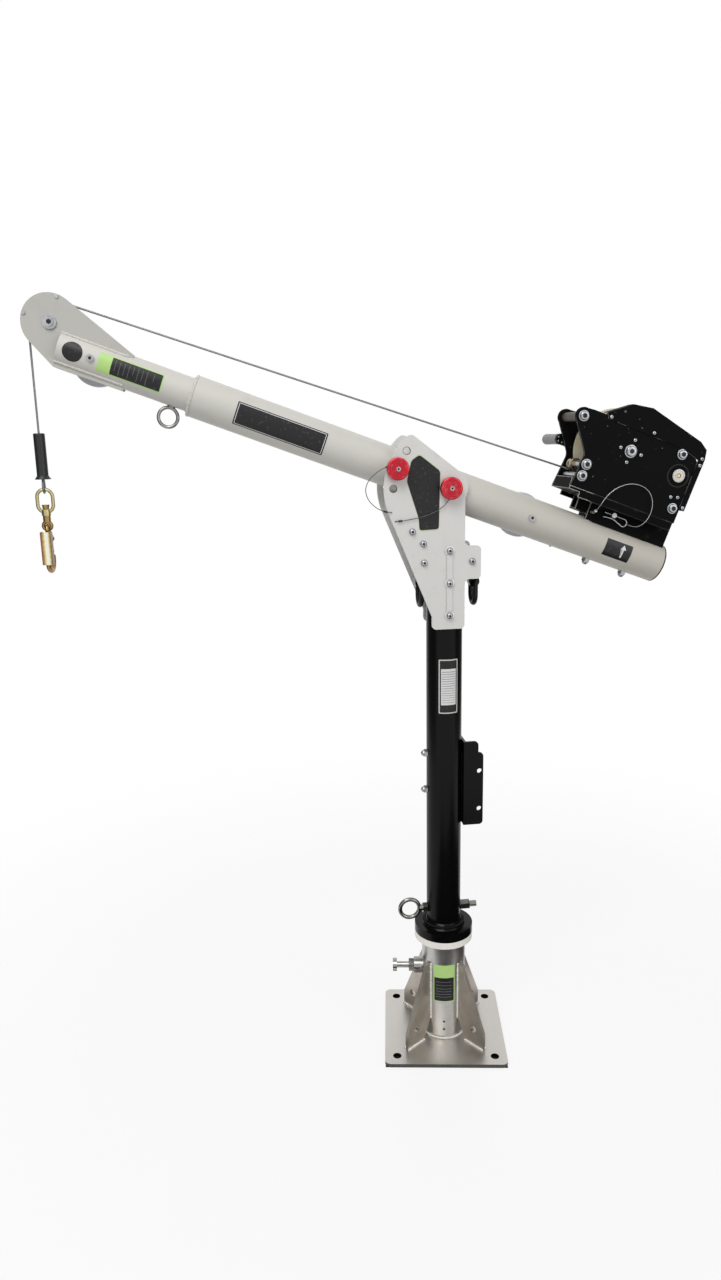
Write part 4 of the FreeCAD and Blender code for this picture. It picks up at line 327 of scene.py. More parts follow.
WHITE = (1.0, 1.0, 1.0, 1.0)
BLACK = (0.0, 0.0, 0.0, 1.0)
SURROUND_LIGHT = 0.42
FLOOR_GREY = (0.86, 0.86, 0.86, 1.0)
FLOOR_SHADE_UNDER_PLATE = (0.004, 0.004, 0.004, 1.0)
FLOOR_GLOW = 0.8
FLOOR_HALF = 7.0
FLOOR_DROP = 0.5 * MM
FLOOR_FADE = (0.7, 2.4)
PLATE_HALF = 157.5 * MM
SIDE_FLAG = 0.14
FLOOR_FLAG = 0.02
FLAGS = [(SIDE_FLAG, [(x, -1.2, 0.0), (x, 2.2, 0.0), (x, 2.2, 3.6), (x, -1.2, 3.6)]) for x in (-2.3, 2.3)]
for left, right, front, back in ((-0.7, 1.3, -1.3, -0.29), (0.32, 1.3, -0.29, 0.3)):
    FLAGS.append((FLOOR_FLAG, [(left, front, MM), (right, front, MM), (right, back, MM), (left, back, MM)]))
LAMPS = {
    "key": ((-1.6, -2.6, 4.6), 2.6, 110.0),
    "fill": ((3.0, -3.0, 2.2), 2.4, 26.0),
    "back": ((0.6, 3.2, 3.4), 2.2, 40.0),
}
AIM = Vector((-0.1, 0.0, 1.2))
LENS = 24.70
SENSOR = 36.0
EYE_PLACE = (-0.4618, -2.0831, 1.5764)
EYE_TURNS = ((-6.925, "Z"), (-12.688, "X"), (1.078, "Y"), (90.0, "X"))

scene.view_settings.view_transform = "Standard"
world = bpy.data.worlds.new("white_surround")
scene.world = world
world.use_nodes = True
surround = world.node_tree.nodes["Background"]
surround.inputs["Color"].default_value = WHITE
strength = SURROUND_LIGHT + (1.0 - SURROUND_LIGHT) * sees_backdrop(world.node_tree)
world.node_tree.links.new(strength.socket, surround.inputs["Strength"])

for name, (place, side, watts) in LAMPS.items():
    lamp = bpy.data.lights.new(name, "AREA")
    lamp.size = side
    lamp.energy = watts
    holder = place_object(name, lamp)
    holder.location = place
    holder.rotation_euler = (AIM - Vector(place)).to_track_quat("-Z", "Y").to_euler()
    holder.visible_glossy = name != "back"

paper, matt, spot = finish("floor_paper", Roughness=0.9)
far = FLOOR_HALF
floor = card("floor", [(-far, -far, 0), (far, -far, 0), (far, far, 0), (-far, far, 0)], paper)
floor.location.z = -FLOOR_DROP
# Under the base plate the floor is near black: painted shade, seen through the plate's anchor holes.
out_from = from_middle(spot)
open_floor = out_from.sum("GREATER_THAN", out_from, PLATE_HALF)
feed(matt, Base_Color=mix(open_floor, FLOOR_SHADE_UNDER_PLATE, FLOOR_GREY))
glow = spot.node("ShaderNodeEmission", {}, {"Strength": 1.0})
share = FLOOR_GLOW * sees_backdrop(paper.node_tree) * open_floor
lit = spot.node("ShaderNodeMixShader", {}, {0: share, 1: Wire(paper.node_tree, matt.outputs[0]), 2: glow})
fade = ramp(off_axis(spot), *FLOOR_FADE)
from_below = spot.node("ShaderNodeNewGeometry", {}, {}, "Backfacing")
clear = spot.node("ShaderNodeBsdfTransparent", {}, {})
lit = spot.node("ShaderNodeMixShader", {}, {0: fade.sum("MAXIMUM", fade, from_below), 1: lit, 2: clear})
paper.node_tree.links.new(lit.socket, paper.node_tree.nodes["Material Output"].inputs["Surface"])
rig.stage(floor)

for k, (grey, corners) in enumerate(FLAGS):
    cloth = finish("flag_cloth_%d" % k, Base_Color=BLACK, Specular_IOR_Level=0.0, Emission_Color=WHITE,
                   Emission_Strength=grey)[0]
    flag = card("flag_%d" % k, corners, cloth)
    for kind in ("camera", "diffuse", "shadow", "transmission", "volume_scatter"):
        setattr(flag, "visible_" + kind, False)
    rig.stage(flag)

camera = bpy.data.cameras.new("photographer")
camera.lens = LENS
camera.sensor_width = SENSOR
camera.clip_start = 0.05
eye = place_object("photographer", camera)
aim = Matrix.Identity(3)
for degrees, axis in EYE_TURNS:
    aim = aim @ Matrix.Rotation(math.radians(degrees), 3, axis)
eye.matrix_world = Matrix.Translation(EYE_PLACE) @ aim.to_4x4()
scene.camera = eye


# The base plate is stainless steel plate with a mill finish, four anchor holes and rounded corners.
# The welds of the socket have left a faint straw tint round its middle. Its edges are painted dark,
# partly as the darkened cut and partly as painted shade, and the walls of its holes as painted shade.


def rgb(red, green, blue):
    """Colour as it looks on a screen, 0 to 255, as the shader's linear values."""
    screen = [value / 255 for value in (red, green, blue)]
    linear = [v / 12.92 if v <= 0.04045 else ((v + 0.055) / 1.055) ** 2.4 for v in screen]
    return (*linear, 1.0)


def cloud(place, scale, detail=3.0, stretch=(1.0, 1.0, 1.0)):
    """Noise from 0 to 1, scale in spots to the metre, drawn out along an axis by a small stretch."""
    place = place.node("ShaderNodeMapping", {}, {"Vector": place, "Scale": stretch})
    return place.node("ShaderNodeTexNoise", {}, {"Vector": place, "Scale": scale, "Detail": detail})


def bump(height, depth, strength=1.0):
    return height.node("ShaderNodeBump", {}, {"Height": height, "Strength": strength, "Distance": depth})


def coat(material, *names):
    """Gives CAD nodes their finish."""
    for name in names:
        for slot in nodes[name].material_slots:
            slot.material = material


HOLES_WITHIN = 145.0 * MM
HOLES_FADE = 4.0 * MM
TINT_FADE = (80.0 * MM, 62.0 * MM)

mill_steel, shader, place = finish("mill_steel", Metallic=1.0)
blotch = cloud(place, 14.0, 5.0)
grain = cloud(place, 900.0, 2.0, (1.0, 0.06, 0.06))
scuff = ramp(cloud(place, 120.0, 4.0), 0.62, 0.75)
tint = ramp(off_axis(place), *TINT_FADE) * 0.35
metal = mix(blotch, rgb(196, 192, 186), rgb(215, 212, 207))
metal = mix(tint, metal, rgb(170, 148, 118))
# Faces that aren't level are painted dark: the edges partly as the cut and partly as painted shade, the hole walls near
# black as painted shade.
facing = place.node("ShaderNodeNewGeometry", {}, {}, "Normal")
upward = facing.node("ShaderNodeSeparateXYZ", {}, {0: facing}, 2)
level_face = upward.sum("ABSOLUTE", upward)
in_hole = ramp(from_middle(place), HOLES_WITHIN + HOLES_FADE, HOLES_WITHIN)
edge_and_hole_shade = mix(in_hole, rgb(58, 57, 56), rgb(14, 14, 14))
metal = mix(ramp(level_face, 0.6, 0.2), metal, edge_and_hole_shade)
feed(shader, Base_Color=mix(0.25 * grain, metal, rgb(166, 165, 163)),
     Roughness=0.3 + 0.16 * blotch + 0.12 * scuff, Normal=bump(grain + scuff, 0.00006, 0.5))
coat(mill_steel, "base_plate")


# The socket sleeve and its four gussets are brushed stainless steel, welded to the plate. The
# brush marks run round the tube, and the weld beads are bright ripples along every seam.
SLEEVE_R = 57.15 * MM
PLATE_TOP = 10.0 * MM
GUSSET_HALF = 5.0 * MM
GUSSET_FOOT = (84.0 * MM, 143.0 * MM)
GUSSET_SEAM = (66.0 * MM, 226.0 * MM)
BEAD = 3.4 * MM
BEAD_PITCH = 3.1 * MM


def drifting(name, low, high, spots, rough, dent=None, grain=None, **constants):
    """Finish that drifts in spots from one colour to another, rougher towards the second. The dent
    has the depth and strength of its bumps, which follow the spots or a grain of their own."""
    material, shader, place = finish(name, **constants)
    drift = cloud(place, *spots)
    feed(shader, Base_Color=mix(drift, rgb(*low), rgb(*high)), Roughness=rough[0] + rough[1] * drift)
    if dent:
        feed(shader, Normal=bump(cloud(place, *grain) if grain else drift, *dent))
    return material


brushed_steel, shader, place = finish("brushed_steel", Metallic=1.0)
brush = cloud(place, 260.0, 3.0, (0.08, 0.08, 3.0))
blotch = cloud(place, 22.0, 4.0)
metal = mix(brush, rgb(172, 170, 167), rgb(214, 212, 209))
heat = ramp(cloud(place, 40.0, 3.0), 0.55, 0.75) * 0.18
feed(shader, Base_Color=mix(heat, metal, rgb(150, 126, 98)), Roughness=0.2 + 0.14 * blotch + 0.1 * brush,
     Normal=bump(brush, 0.00005, 0.6))
coat(brushed_steel, "base_sleeve")

gusset_steel = drifting("gusset_steel", (160, 151, 140), (204, 198, 190), (30.0, 4.0), (0.3, 0.14),
                        (0.00005, 0.6), (420.0, 3.0, (1.0, 1.0, 0.1)), Metallic=1.0)
coat(gusset_steel, "gussets")


def recipe(name, **inputs):
    """New geometry tree with named inputs, given as kind of socket; gives the tree and its input wires."""
    tree = bpy.data.node_groups.new(name, "GeometryNodeTree")
    tree.interface.new_socket("Result", in_out="OUTPUT", socket_type="NodeSocketGeometry")
    for label, kind in inputs.items():
        tree.interface.new_socket(label, in_out="INPUT", socket_type="NodeSocket" + kind)
    entry = tree.nodes.new("NodeGroupInput")
    return tree, {label: Wire(tree, entry.outputs[label]) for label in inputs}


def serve(result):
    """Ends a geometry tree with this result."""
    tree = result.tree
    tree.links.new(result.socket, tree.nodes.new("NodeGroupOutput").inputs[0])


def cook(name, mesh, tree, **values):
    """Object whose plain mesh is what the tree makes of the given one."""
    made = place_object(name, mesh)
    modifier = made.modifiers.new("recipe", "NODES")
    modifier.node_group = tree
    for item in tree.interface.items_tree:
        if item.in_out == "INPUT" and item.name in values:
            modifier[item.identifier] = values[item.name]
    ready = made.evaluated_get(bpy.context.evaluated_depsgraph_get())
    plain = bpy.data.meshes.new_from_object(ready)
    made.modifiers.remove(modifier)
    made.data = plain
    return made


def lines(name, runs):
    """Mesh of open runs of points, for a tree that follows them."""
    mesh = bpy.data.meshes.new(name)
    points = [p for run in runs for p in run]
    edges = []
    first = 0
    for run in runs:
        edges += [(first + k, first + k + 1) for k in range(len(run) - 1)]
        first += len(run)
    mesh.from_pydata(points, edges, [])
    return mesh


bead_tree, given = recipe("weld_bead", Seam="Geometry", Radius="Float", Pitch="Float", Metal="Material")
curve = given["Seam"].node("GeometryNodeMeshToCurve", {}, {0: given["Seam"]})
spots = curve.node("GeometryNodeCurveToPoints", {"mode": "LENGTH"}, {0: curve, "Length": given["Pitch"]})
turn = Wire(bead_tree, spots.socket.node.outputs["Rotation"])
drop = curve.node("GeometryNodeMeshUVSphere", {}, {"Segments": 10, "Rings": 6, "Radius": 1.0})
uneven = curve.node("FunctionNodeRandomValue", {"data_type": "FLOAT"}, {2: 0.8, 3: 1.15, "Seed": 7}, 1)
width = given["Radius"] * uneven
size = curve.node("ShaderNodeCombineXYZ", {}, {0: width, 1: width, 2: given["Radius"] * 0.75})
drops = curve.node("GeometryNodeInstanceOnPoints", {},
                   {"Points": spots, "Instance": drop, "Rotation": turn, "Scale": size})
real = curve.node("GeometryNodeRealizeInstances", {}, {0: drops})
smooth = curve.node("GeometryNodeSetShadeSmooth", {}, {0: real})
serve(curve.node("GeometryNodeSetMaterial", {}, {0: smooth, "Material": given["Metal"]}))

weld_metal = drifting("weld_metal", (200, 197, 191), (240, 239, 236), (500.0, 2.0), (0.22, 0.2),
                      (0.0002, 0.5), Metallic=0.65)


def fit(made, body, slot, node=None):
    """Lets a piece ride a body in a material slot, and stand for a CAD node if one is named."""
    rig.ride(made, body)
    if node:
        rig.replaces(made, node)
    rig.slot(made, slot)
    return made


def weld(name, seams, body, slot, **bead):
    """Beads along the seams."""
    return fit(cook(name, lines(name + "_seams", seams), bead_tree, **bead), body, slot)


def circle(radius, steps, closed=False, start=0.0):
    """Points round a circle, the first one again at the end if it is closed."""
    turns = [start + 2 * math.pi * k / steps for k in range(steps + closed)]
    return [(radius * math.cos(t), radius * math.sin(t)) for t in turns]


def ring_run(radius, height):
    """Closed round seam about the mast's axis."""
    return [Vector((x, y, height)) for x, y in circle(radius, 72, True)]


seams = [ring_run(SLEEVE_R + 0.6 * BEAD, PLATE_TOP + 0.6 * BEAD)]
for quarter in range(4):
    spin = BASE_TURN @ Matrix.Rotation(math.radians(45 + 90 * quarter), 4, "Z")
    for side in (-1, 1):
        y = side * (GUSSET_HALF + 0.5 * BEAD)
        x = SLEEVE_R - 0.2 * BEAD
        z = PLATE_TOP + 0.5 * BEAD
        seams.append([spin @ Vector((x, y, height)) for height in GUSSET_SEAM])
        seams.append([spin @ Vector((reach, y, z)) for reach in GUSSET_FOOT])
weld("socket_welds", seams, "base", "stainless", Radius=BEAD, Pitch=BEAD_PITCH, Metal=weld_metal)


# Labels are printed plastic film, bare of words: a pale green field and border with a dark panel
# on the sleeve, stuck on flat and following the curve it lies on.
FILM = 0.25 * MM
PRINT_STEP = 0.04 * MM
GREEN = rgb(184, 222, 136)
INK = rgb(30, 30, 32)
RULE = rgb(112, 112, 112)
PAPER = rgb(226, 226, 226)
SLEEVE_LABEL = (-29.0, 120.0, 29.0, 228.0)
SLEEVE_RULES = (134, 142, 150, 158, 168, 178)
SLEEVE_FRONT = math.radians(-10.0)
SLICE = 4.0
UPRIGHT = [(SLICE * k, (1, 0, 0)) for k in range(-8, 9)]

label_film, shader, place = finish("label_film", Specular_IOR_Level=0.3)
ink = place.node("ShaderNodeAttribute", {"attribute_name": "print"}, {}, "Color")
scuff = ramp(cloud(place, 160.0, 4.0), 0.58, 0.78)
feed(shader, Base_Color=mix(0.18 * scuff, ink, rgb(150, 150, 150)), Roughness=0.3 + 0.25 * scuff)


def panel(left, low, right, high, corner=3.0):
    """Outline of a printed field with rounded corners, in millimetres."""
    points = []
    for x, z, way in ((left, low, 180), (right, low, 270), (right, high, 0), (left, high, 90)):
        cx = x + corner if x == left else x - corner
        cz = z + corner if z == low else z - corner
        for k in range(5):
            t = math.radians(way + 22.5 * k)
            points.append((cx + corner * math.cos(t), cz + corner * math.sin(t)))
    return points


def label(name, fields, wrap, body, slices):
    """Film label: printed fields over each other, wrapped on what carries it; slices cut it to bend."""
    shape = bmesh.new()
    inks = []
    for level, (outline, colour) in enumerate(fields):
        sheet = bmesh.new()
        face = sheet.faces.new([sheet.verts.new((x, z, 0)) for x, z in outline])
        bmesh.ops.triangulate(sheet, faces=[face])
        for cut, way in slices:
            bmesh.ops.bisect_plane(sheet, geom=sheet.verts[:] + sheet.edges[:] + sheet.faces[:],
                                   plane_co=(cut, cut, 0), plane_no=way)
        grown = bmesh.ops.extrude_face_region(sheet, geom=sheet.faces[:])
        for vert in grown["geom"]:
            if isinstance(vert, bmesh.types.BMVert):
                vert.co.z = FILM + level * PRINT_STEP
        bmesh.ops.recalc_face_normals(sheet, faces=sheet.faces)
        for vert in sheet.verts:
            vert.co = wrap(vert.co.x * MM, vert.co.y * MM, vert.co.z)
        flat = bpy.data.meshes.new(name)
        sheet.to_mesh(flat)
        sheet.free()
        shape.from_mesh(flat)
        inks += [colour] * len(flat.polygons)
        bpy.data.meshes.remove(flat)
    bmesh.ops.recalc_face_normals(shape, faces=shape.faces)
    mesh = bpy.data.meshes.new(name)
    shape.to_mesh(mesh)
    shape.free()
    layer = mesh.attributes.new("print", "FLOAT_COLOR", "FACE")
    for spot, colour in zip(layer.data, inks):
        spot.color = colour
    mesh.materials.append(label_film)
    made = place_object(name, mesh)
    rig.ride(made, body)
    return made


def round_post(radius, facing):
    """Wrap for a label on an upright tube; facing is the angle of its middle from the front."""
    def wrap(across, up, lift):
        t = facing + across / radius
        return Vector(((radius + lift) * math.sin(t), -(radius + lift) * math.cos(t), up))
    return wrap


left, low, right, high = SLEEVE_LABEL
rules = [(panel(left + 7, z, right - 9, z + 1.2, 0.4), RULE) for z in SLEEVE_RULES]
label("sleeve_label",
      [(panel(*SLEEVE_LABEL), GREEN), (panel(left + 2.5, low + 2.5, right - 2.5, 191.0, 2.0), INK), *rules],
      round_post(SLEEVE_R, SLEEVE_FRONT), "base", UPRIGHT)


# The bush that the mast turns in is cream nylon; its flange shows as a pale ring under the
# collar. It is turned from bar, so faint rings run round it.
cream_nylon, shader, place = finish("cream_nylon", Roughness=0.42)
lathe_marks = cloud(place, 700.0, 2.0, (0.05, 0.05, 3.0))
stain = ramp(cloud(place, 30.0, 4.0), 0.5, 0.8) * 0.4
feed(shader, Base_Color=mix(0.5 * stain, rgb(246, 243, 235), rgb(222, 214, 198)),
     Normal=bump(lathe_marks, 0.00005, 0.5))
coat(cream_nylon, "mast_bushes")


# The swivel plunger is a bright turned pin with a round pull, in a threaded boss welded to the
# sleeve, with a spring behind its collar.
bright_steel = drifting("bright_steel", (128, 126, 122), (188, 186, 182), (45.0, 4.0), (0.1, 0.16),
                        (0.00006, 0.4), (500.0, 3.0), Metallic=1.0)
coat(bright_steel, "plunger_housing", "plunger_pin")

SPRING_X = (-61.75 * MM, -88.15 * MM)
SPRING_HIGH = 195.0 * MM
SPRING_R = 9.6 * MM
SPRING_WIRE = 1.1 * MM
SPRING_TURNS = 6.0
SPRING_PULL = 12.0 * MM

spring_tree, given = recipe("coil_spring", Turns="Float", Coil="Float", Length="Float", Wire="Float",
                            Metal="Material")
coil = given["Turns"].node("GeometryNodeCurveSpiral", {}, {
    "Resolution": 32, "Rotations": given["Turns"], "Start Radius": given["Coil"], "End Radius": given["Coil"],
    "Height": given["Length"]})
section = coil.node("GeometryNodeCurvePrimitiveCircle", {}, {"Resolution": 12, "Radius": given["Wire"]})
coil = coil.node("GeometryNodeCurveToMesh", {}, {0: coil, 1: section, "Fill Caps": True})
coil = coil.node("GeometryNodeSetShadeSmooth", {}, {0: coil})
serve(coil.node("GeometryNodeSetMaterial", {}, {0: coil, "Material": given["Metal"]}))
spring_length = SPRING_X[0] - SPRING_X[1]
spring = cook("plunger_coil", bpy.data.meshes.new("coil"), spring_tree, Turns=SPRING_TURNS, Coil=SPRING_R,
              Length=spring_length - 2 * SPRING_WIRE, Wire=SPRING_WIRE, Metal=bright_steel)
seat = Matrix.Translation((SPRING_X[0] - SPRING_WIRE, 0, SPRING_HIGH))
spring.data.transform(BASE_TURN @ seat @ Matrix.Rotation(math.radians(-90), 4, "Y"))
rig.ride(spring, "base")
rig.squash(spring, "plunger_pull", BASE_TURN.to_3x3() @ Vector((-1, 0, 0)),
          BASE_TURN @ Vector((SPRING_X[1], 0, SPRING_HIGH)), 1 - SPRING_PULL / spring_length)
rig.replaces(spring, "plunger_spring")
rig.slot(spring, "zinc")


# The mast is a black gloss-painted steel tube with a collar welded on that rides on the nylon
# ring. The paint has a slight orange peel and a few specks of dust.
gloss_black, shader, place = finish("gloss_black", Specular_IOR_Level=0.14)
peel = cloud(place, 320.0, 2.0)
dust = ramp(cloud(place, 900.0, 1.0), 0.74, 0.8)
wipe = cloud(place, 16.0, 4.0, (1.0, 1.0, 0.3))
feed(shader, Base_Color=mix(dust, rgb(8, 8, 9), rgb(60, 60, 60)), Roughness=0.12 + 0.2 * wipe,
     Normal=bump(peel, 0.00012, 0.5))
coat(gloss_black, "mast_tube", "mast_collar", "device_bracket", "cheek_bars", "ring_brackets")

MAST_R = 44.45 * MM
COLLAR_TOP = 327.0 * MM
COLLAR_BEAD = 4.6 * MM
COLLAR_PITCH = 5.2 * MM
collar_seam = ring_run(MAST_R + 6.0 * MM, COLLAR_TOP + 6.5 * MM)
weld("collar_weld", [collar_seam], "mast", "black_paint", Radius=COLLAR_BEAD, Pitch=COLLAR_PITCH,
     Metal=gloss_black)


# The mast's label is a blank record card on plastic film: a pale border and a dark panel with a
# white field of ruled rows, stuck round the front of the tube.
MAST_LABEL = (-25.0, 917.0, 25.0, 1055.0)
MAST_ROWS = range(945, 1028, 6)
MAST_FRONT = math.radians(2.6)
left, low, right, high = MAST_LABEL
rows = [(panel(left + 8, z, right - 8, z + 0.9, 0.3), RULE) for z in MAST_ROWS]
label("mast_label",
      [(panel(*MAST_LABEL), rgb(206, 206, 198)), (panel(left + 3, low + 3, right - 3, high - 3, 2.0), INK),
       (panel(left + 6, 939.0, right - 6, 1031.0, 1.0), PAPER), *rows],
      round_post(MAST_R, MAST_FRONT), "mast", UPRIGHT)


# Nuts, bolts and pins are zinc plated, bright with a bluish cast and dull where a spanner has turned
# them. The two eye bolts are darker polished steel.
zinc, shader, place = finish("zinc_plate", Metallic=1.0)
smear = cloud(place, 70.0, 4.0)
scratch = ramp(cloud(place, 600.0, 2.0, (1.0, 0.15, 1.0)), 0.6, 0.7)
metal = mix(smear, rgb(132, 135, 139), rgb(200, 202, 205))
feed(shader, Base_Color=mix(0.5 * scratch, metal, rgb(120, 121, 122)), Roughness=0.18 + 0.2 * smear,
     Normal=bump(smear + 0.5 * scratch, 0.0001, 0.4))
coat(zinc, "device_bracket_bolts", "hinge_plate_bolts", "boom_bolts", "head_pins",
     "hitch_clip", "pivot_pin", "lock_pin", "pinion_shaft", "pawl")

eye_steel = drifting("eye_steel", (92, 91, 88), (176, 174, 170), (60.0, 4.0), (0.13, 0.14), (0.0001, 0.4),
                     Metallic=1.0)
coat(eye_steel, "mast_eye_bolt", "boom_eye_bolt")


def turned(name, profile, steps=36, knurl=None):
    """Mesh turned about Z from (height, radius) points, where (height, flat, 6) gives a hexagon. A
    knurl has the heights between which it is cut and the depth of its notches."""
    shape = bmesh.new()
    rings = []
    for height, radius, *sides in profile:
        ring = []
        for k in range(steps):
            t = 2 * math.pi * k / steps
            reach = radius
            if sides:
                reach = radius / math.cos((t + math.pi / 6) % (math.pi / 3) - math.pi / 6)
            elif knurl and knurl[0] <= height <= knurl[1] and k % 3 == 0:
                reach = radius - knurl[2]
            ring.append(shape.verts.new((reach * math.cos(t) * MM, reach * math.sin(t) * MM, height * MM)))
        rings.append(ring)
    for first, second in zip(rings, rings[1:]):
        for k in range(steps):
            n = (k + 1) % steps
            shape.faces.new((first[k], first[n], second[n], second[k]))
    shape.faces.new(rings[0])
    shape.faces.new(rings[-1])
    bmesh.ops.recalc_face_normals(shape, faces=shape.faces)
    mesh = bpy.data.meshes.new(name)
    shape.to_mesh(mesh)
    shape.free()
    mesh.shade_smooth()
    mesh.set_sharp_from_angle(angle=math.radians(40))
    return mesh


TO_FRONT = (math.radians(90), 0.0, 0.0)
fixing_tree, given = recipe("fixings", Spots="Geometry", Form="Object", Turn="Vector", Metal="Material")
form = given["Form"].node("GeometryNodeObjectInfo", {}, {"Object": given["Form"]}, "Geometry")
turn = form.node("FunctionNodeEulerToRotation", {}, {0: given["Turn"]})
set_in = form.node("GeometryNodeInstanceOnPoints", {},
                   {"Points": given["Spots"], "Instance": form, "Rotation": turn})
real = form.node("GeometryNodeRealizeInstances", {}, {0: set_in})
serve(form.node("GeometryNodeSetMaterial", {}, {0: real, "Material": given["Metal"]}))


def fixings(name, profile, spots, body, metal, slot="zinc", steps=36, turn=TO_FRONT):
    """One turned form set at every spot, riding one body."""
    pattern = place_object(name + "_form", turned(name + "_form", profile, steps))
    mesh = bpy.data.meshes.new(name)
    mesh.from_pydata(spots, [], [])
    made = cook(name, mesh, fixing_tree, Form=pattern, Turn=turn, Metal=metal)
    bpy.data.objects.remove(pattern)
    return fit(made, body, slot)


# Screw sockets get a dark hex disc on their floor or face: painted shade in the socket.
socket_shade = drifting("socket_shadow", (20, 20, 21), (52, 52, 53), (700.0, 2.0), (0.4, 0.3), Metallic=0.6)

GRUB = [(-0.4, 4.2), (0.3, 4.2), (0.6, 3.8), (0.6, 2.5, 6), (0.2, 2.5, 6)]
GRUB_HEX = [(0.2, 2.4, 6), (0.35, 2.4, 6)]
GRUB_HEIGHTS = (61.0, 38.0)
sleeve_front = round_post(SLEEVE_R, SLEEVE_FRONT)
grubs = [sleeve_front(0.0, z * MM, 0.0) for z in GRUB_HEIGHTS]
outward = (TO_FRONT[0], 0.0, SLEEVE_FRONT)
fixings("bush_grub_screws", GRUB, grubs, "base", zinc, steps=24, turn=outward)
# The grub screws' sockets are discs of painted shade.
fixings("bush_grub_sockets", GRUB_HEX, grubs, "base", socket_shade, steps=24, turn=outward)


# The hinge plates are laser-cut aluminium with a satin pale grey coat, bolted through cheek bars
# to the mast's flats and kept apart by stand-offs.
PIVOT_HIGH = 1.469
LOCK_RADIUS = 133.0
INDEX_HOLES = (139.5, 179.5)
SHADED_HOLE_RIM = (9.8 * MM, 9.0 * MM)
SHADED_HOLE_WALL = (8.7 * MM, 8.3 * MM)
NEAR_FACE = -58.0 * MM


def from_axis(place, centre):
    """Distance from a line that runs across the crane through the centre."""
    aside = place.node("ShaderNodeVectorMath", {"operation": "SUBTRACT"}, {0: place, 1: centre})
    aside = aside.node("ShaderNodeVectorMath", {"operation": "MULTIPLY"}, {0: aside, 1: (1.0, 0.0, 1.0)})
    return aside.node("ShaderNodeVectorMath", {"operation": "LENGTH"}, {0: aside}, "Value")


plate_grey, shader, place = finish("plate_grey", Metallic=0.15)
fine = cloud(place, 1400.0, 2.0)
rub = ramp(cloud(place, 26.0, 5.0), 0.55, 0.8)
metal = mix(fine, rgb(208, 207, 204), rgb(226, 225, 222))
metal = mix(0.3 * rub, metal, rgb(188, 187, 184))
# Each index hole's rim and wall are painted dark: painted shade in the hole.
for degrees in INDEX_HOLES:
    turn = math.radians(degrees)
    hole = Vector((math.cos(turn), 0.0, math.sin(turn))) * LOCK_RADIUS * MM
    away = from_axis(place, (hole.x, 0.0, PIVOT_HIGH + hole.z))
    metal = mix(ramp(away, *SHADED_HOLE_RIM), metal, rgb(96, 90, 84))
    metal = mix(ramp(away, *SHADED_HOLE_WALL), metal, rgb(58, 50, 44))
feed(shader, Base_Color=metal, Roughness=0.4 + 0.12 * fine, Normal=bump(fine, 0.00008, 0.5))
coat(plate_grey, "side_plate_near", "side_plate_far")

strip_pale = drifting("strip_pale", (216, 215, 212), (234, 233, 230), (900.0, 2.0), (0.36, 0.12),
                      (0.00008, 0.5), Metallic=0.15)

STRIP_FACE = -60.0 * MM
MAST_BOLTS = (1167.0, 1245.0, 1323.0)
PLATE_BOLTS = ((-89.0, 1370.0), (-63.0, 1341.0), (-61.0, 1296.0), (55.0, 1296.0))
BUTTON = [(0, 8.3), (1.0, 8.3), (3.2, 7.7), (5.0, 6.9), (6.4, 5.9), (7.0, 4.4), (7.0, 2.9, 6), (6.2, 2.9, 6)]
HEX_FLOOR = [(6.2, 2.8, 6), (6.4, 2.8, 6)]
STRIP_STEPS = ((7.0, 0.0), (7.0, 0.4), (6.6, 0.6))
WASHER = [(0, 11.8), (0.4, 11.8), (0.6, 11.4)]

bolt_spots = [Vector((0, STRIP_FACE, z * MM)) for z in MAST_BOLTS]
bolt_spots += [Vector((x * MM, NEAR_FACE, z * MM)) for x, z in PLATE_BOLTS]
fixings("hinge_bolt_heads", BUTTON, bolt_spots, "mast", zinc)
# The button heads' sockets are discs of painted shade.
fixings("hinge_bolt_sockets", HEX_FLOOR, bolt_spots, "mast", socket_shade)
fixings("strip_washers", WASHER, bolt_spots[:3], "mast", strip_pale, "plate_alloy", 48)
strip = bmesh.new()
low, high = MAST_BOLTS[0], MAST_BOLTS[-1]
for half, lift in STRIP_STEPS:
    for x, z in ((-half, low), (half, low), (half, high), (-half, high)):
        strip.verts.new((x * MM, STRIP_FACE - lift * MM, z * MM))
strip.verts.ensure_lookup_table()
for step in (0, 4):
    for k in range(4):
        n = (k + 1) % 4
        strip.faces.new([strip.verts[step + i] for i in (k, n, n + 4, k + 4)])
strip.faces.new(strip.verts[8:12])
strip.faces.new(strip.verts[0:4])
bmesh.ops.recalc_face_normals(strip, faces=strip.faces)
strip_mesh = bpy.data.meshes.new("bolt_strip")
strip.to_mesh(strip_mesh)
strip.free()
strip_mesh.materials.append(plate_grey)
fit(place_object("bolt_strip", strip_mesh), "mast", "plate_alloy")


# A kite-shaped label of plastic film, dark with a thin pale green edge, is stuck flat on the middle
# of the near hinge plate.
KITE = ((-71.9, 1548.6), (-21.8, 1509.5), (-23.5, 1446.7), (-25.2, 1372.2), (-72.6, 1370.1), (-74.3, 1398.6),
        (-102.6, 1487.1), (-91.6, 1535.2))
KITE_CORNER = 7.0
KITE_FIELD = 0.972


def eased(corners, radius):
    """Outline with every corner eased."""
    points = []
    count = len(corners)
    for k in range(count):
        at = Vector(corners[k])
        first = at + (Vector(corners[k - 1]) - at).normalized() * radius
        last = at + (Vector(corners[(k + 1) % count]) - at).normalized() * radius
        for t in (0.0, 0.25, 0.5, 0.75, 1.0):
            points.append(tuple(first * (1 - t) ** 2 + at * 2 * t * (1 - t) + last * t ** 2))
    return points


def flat_plate(across, up, lift):
    return Vector((across, NEAR_FACE - lift, up))


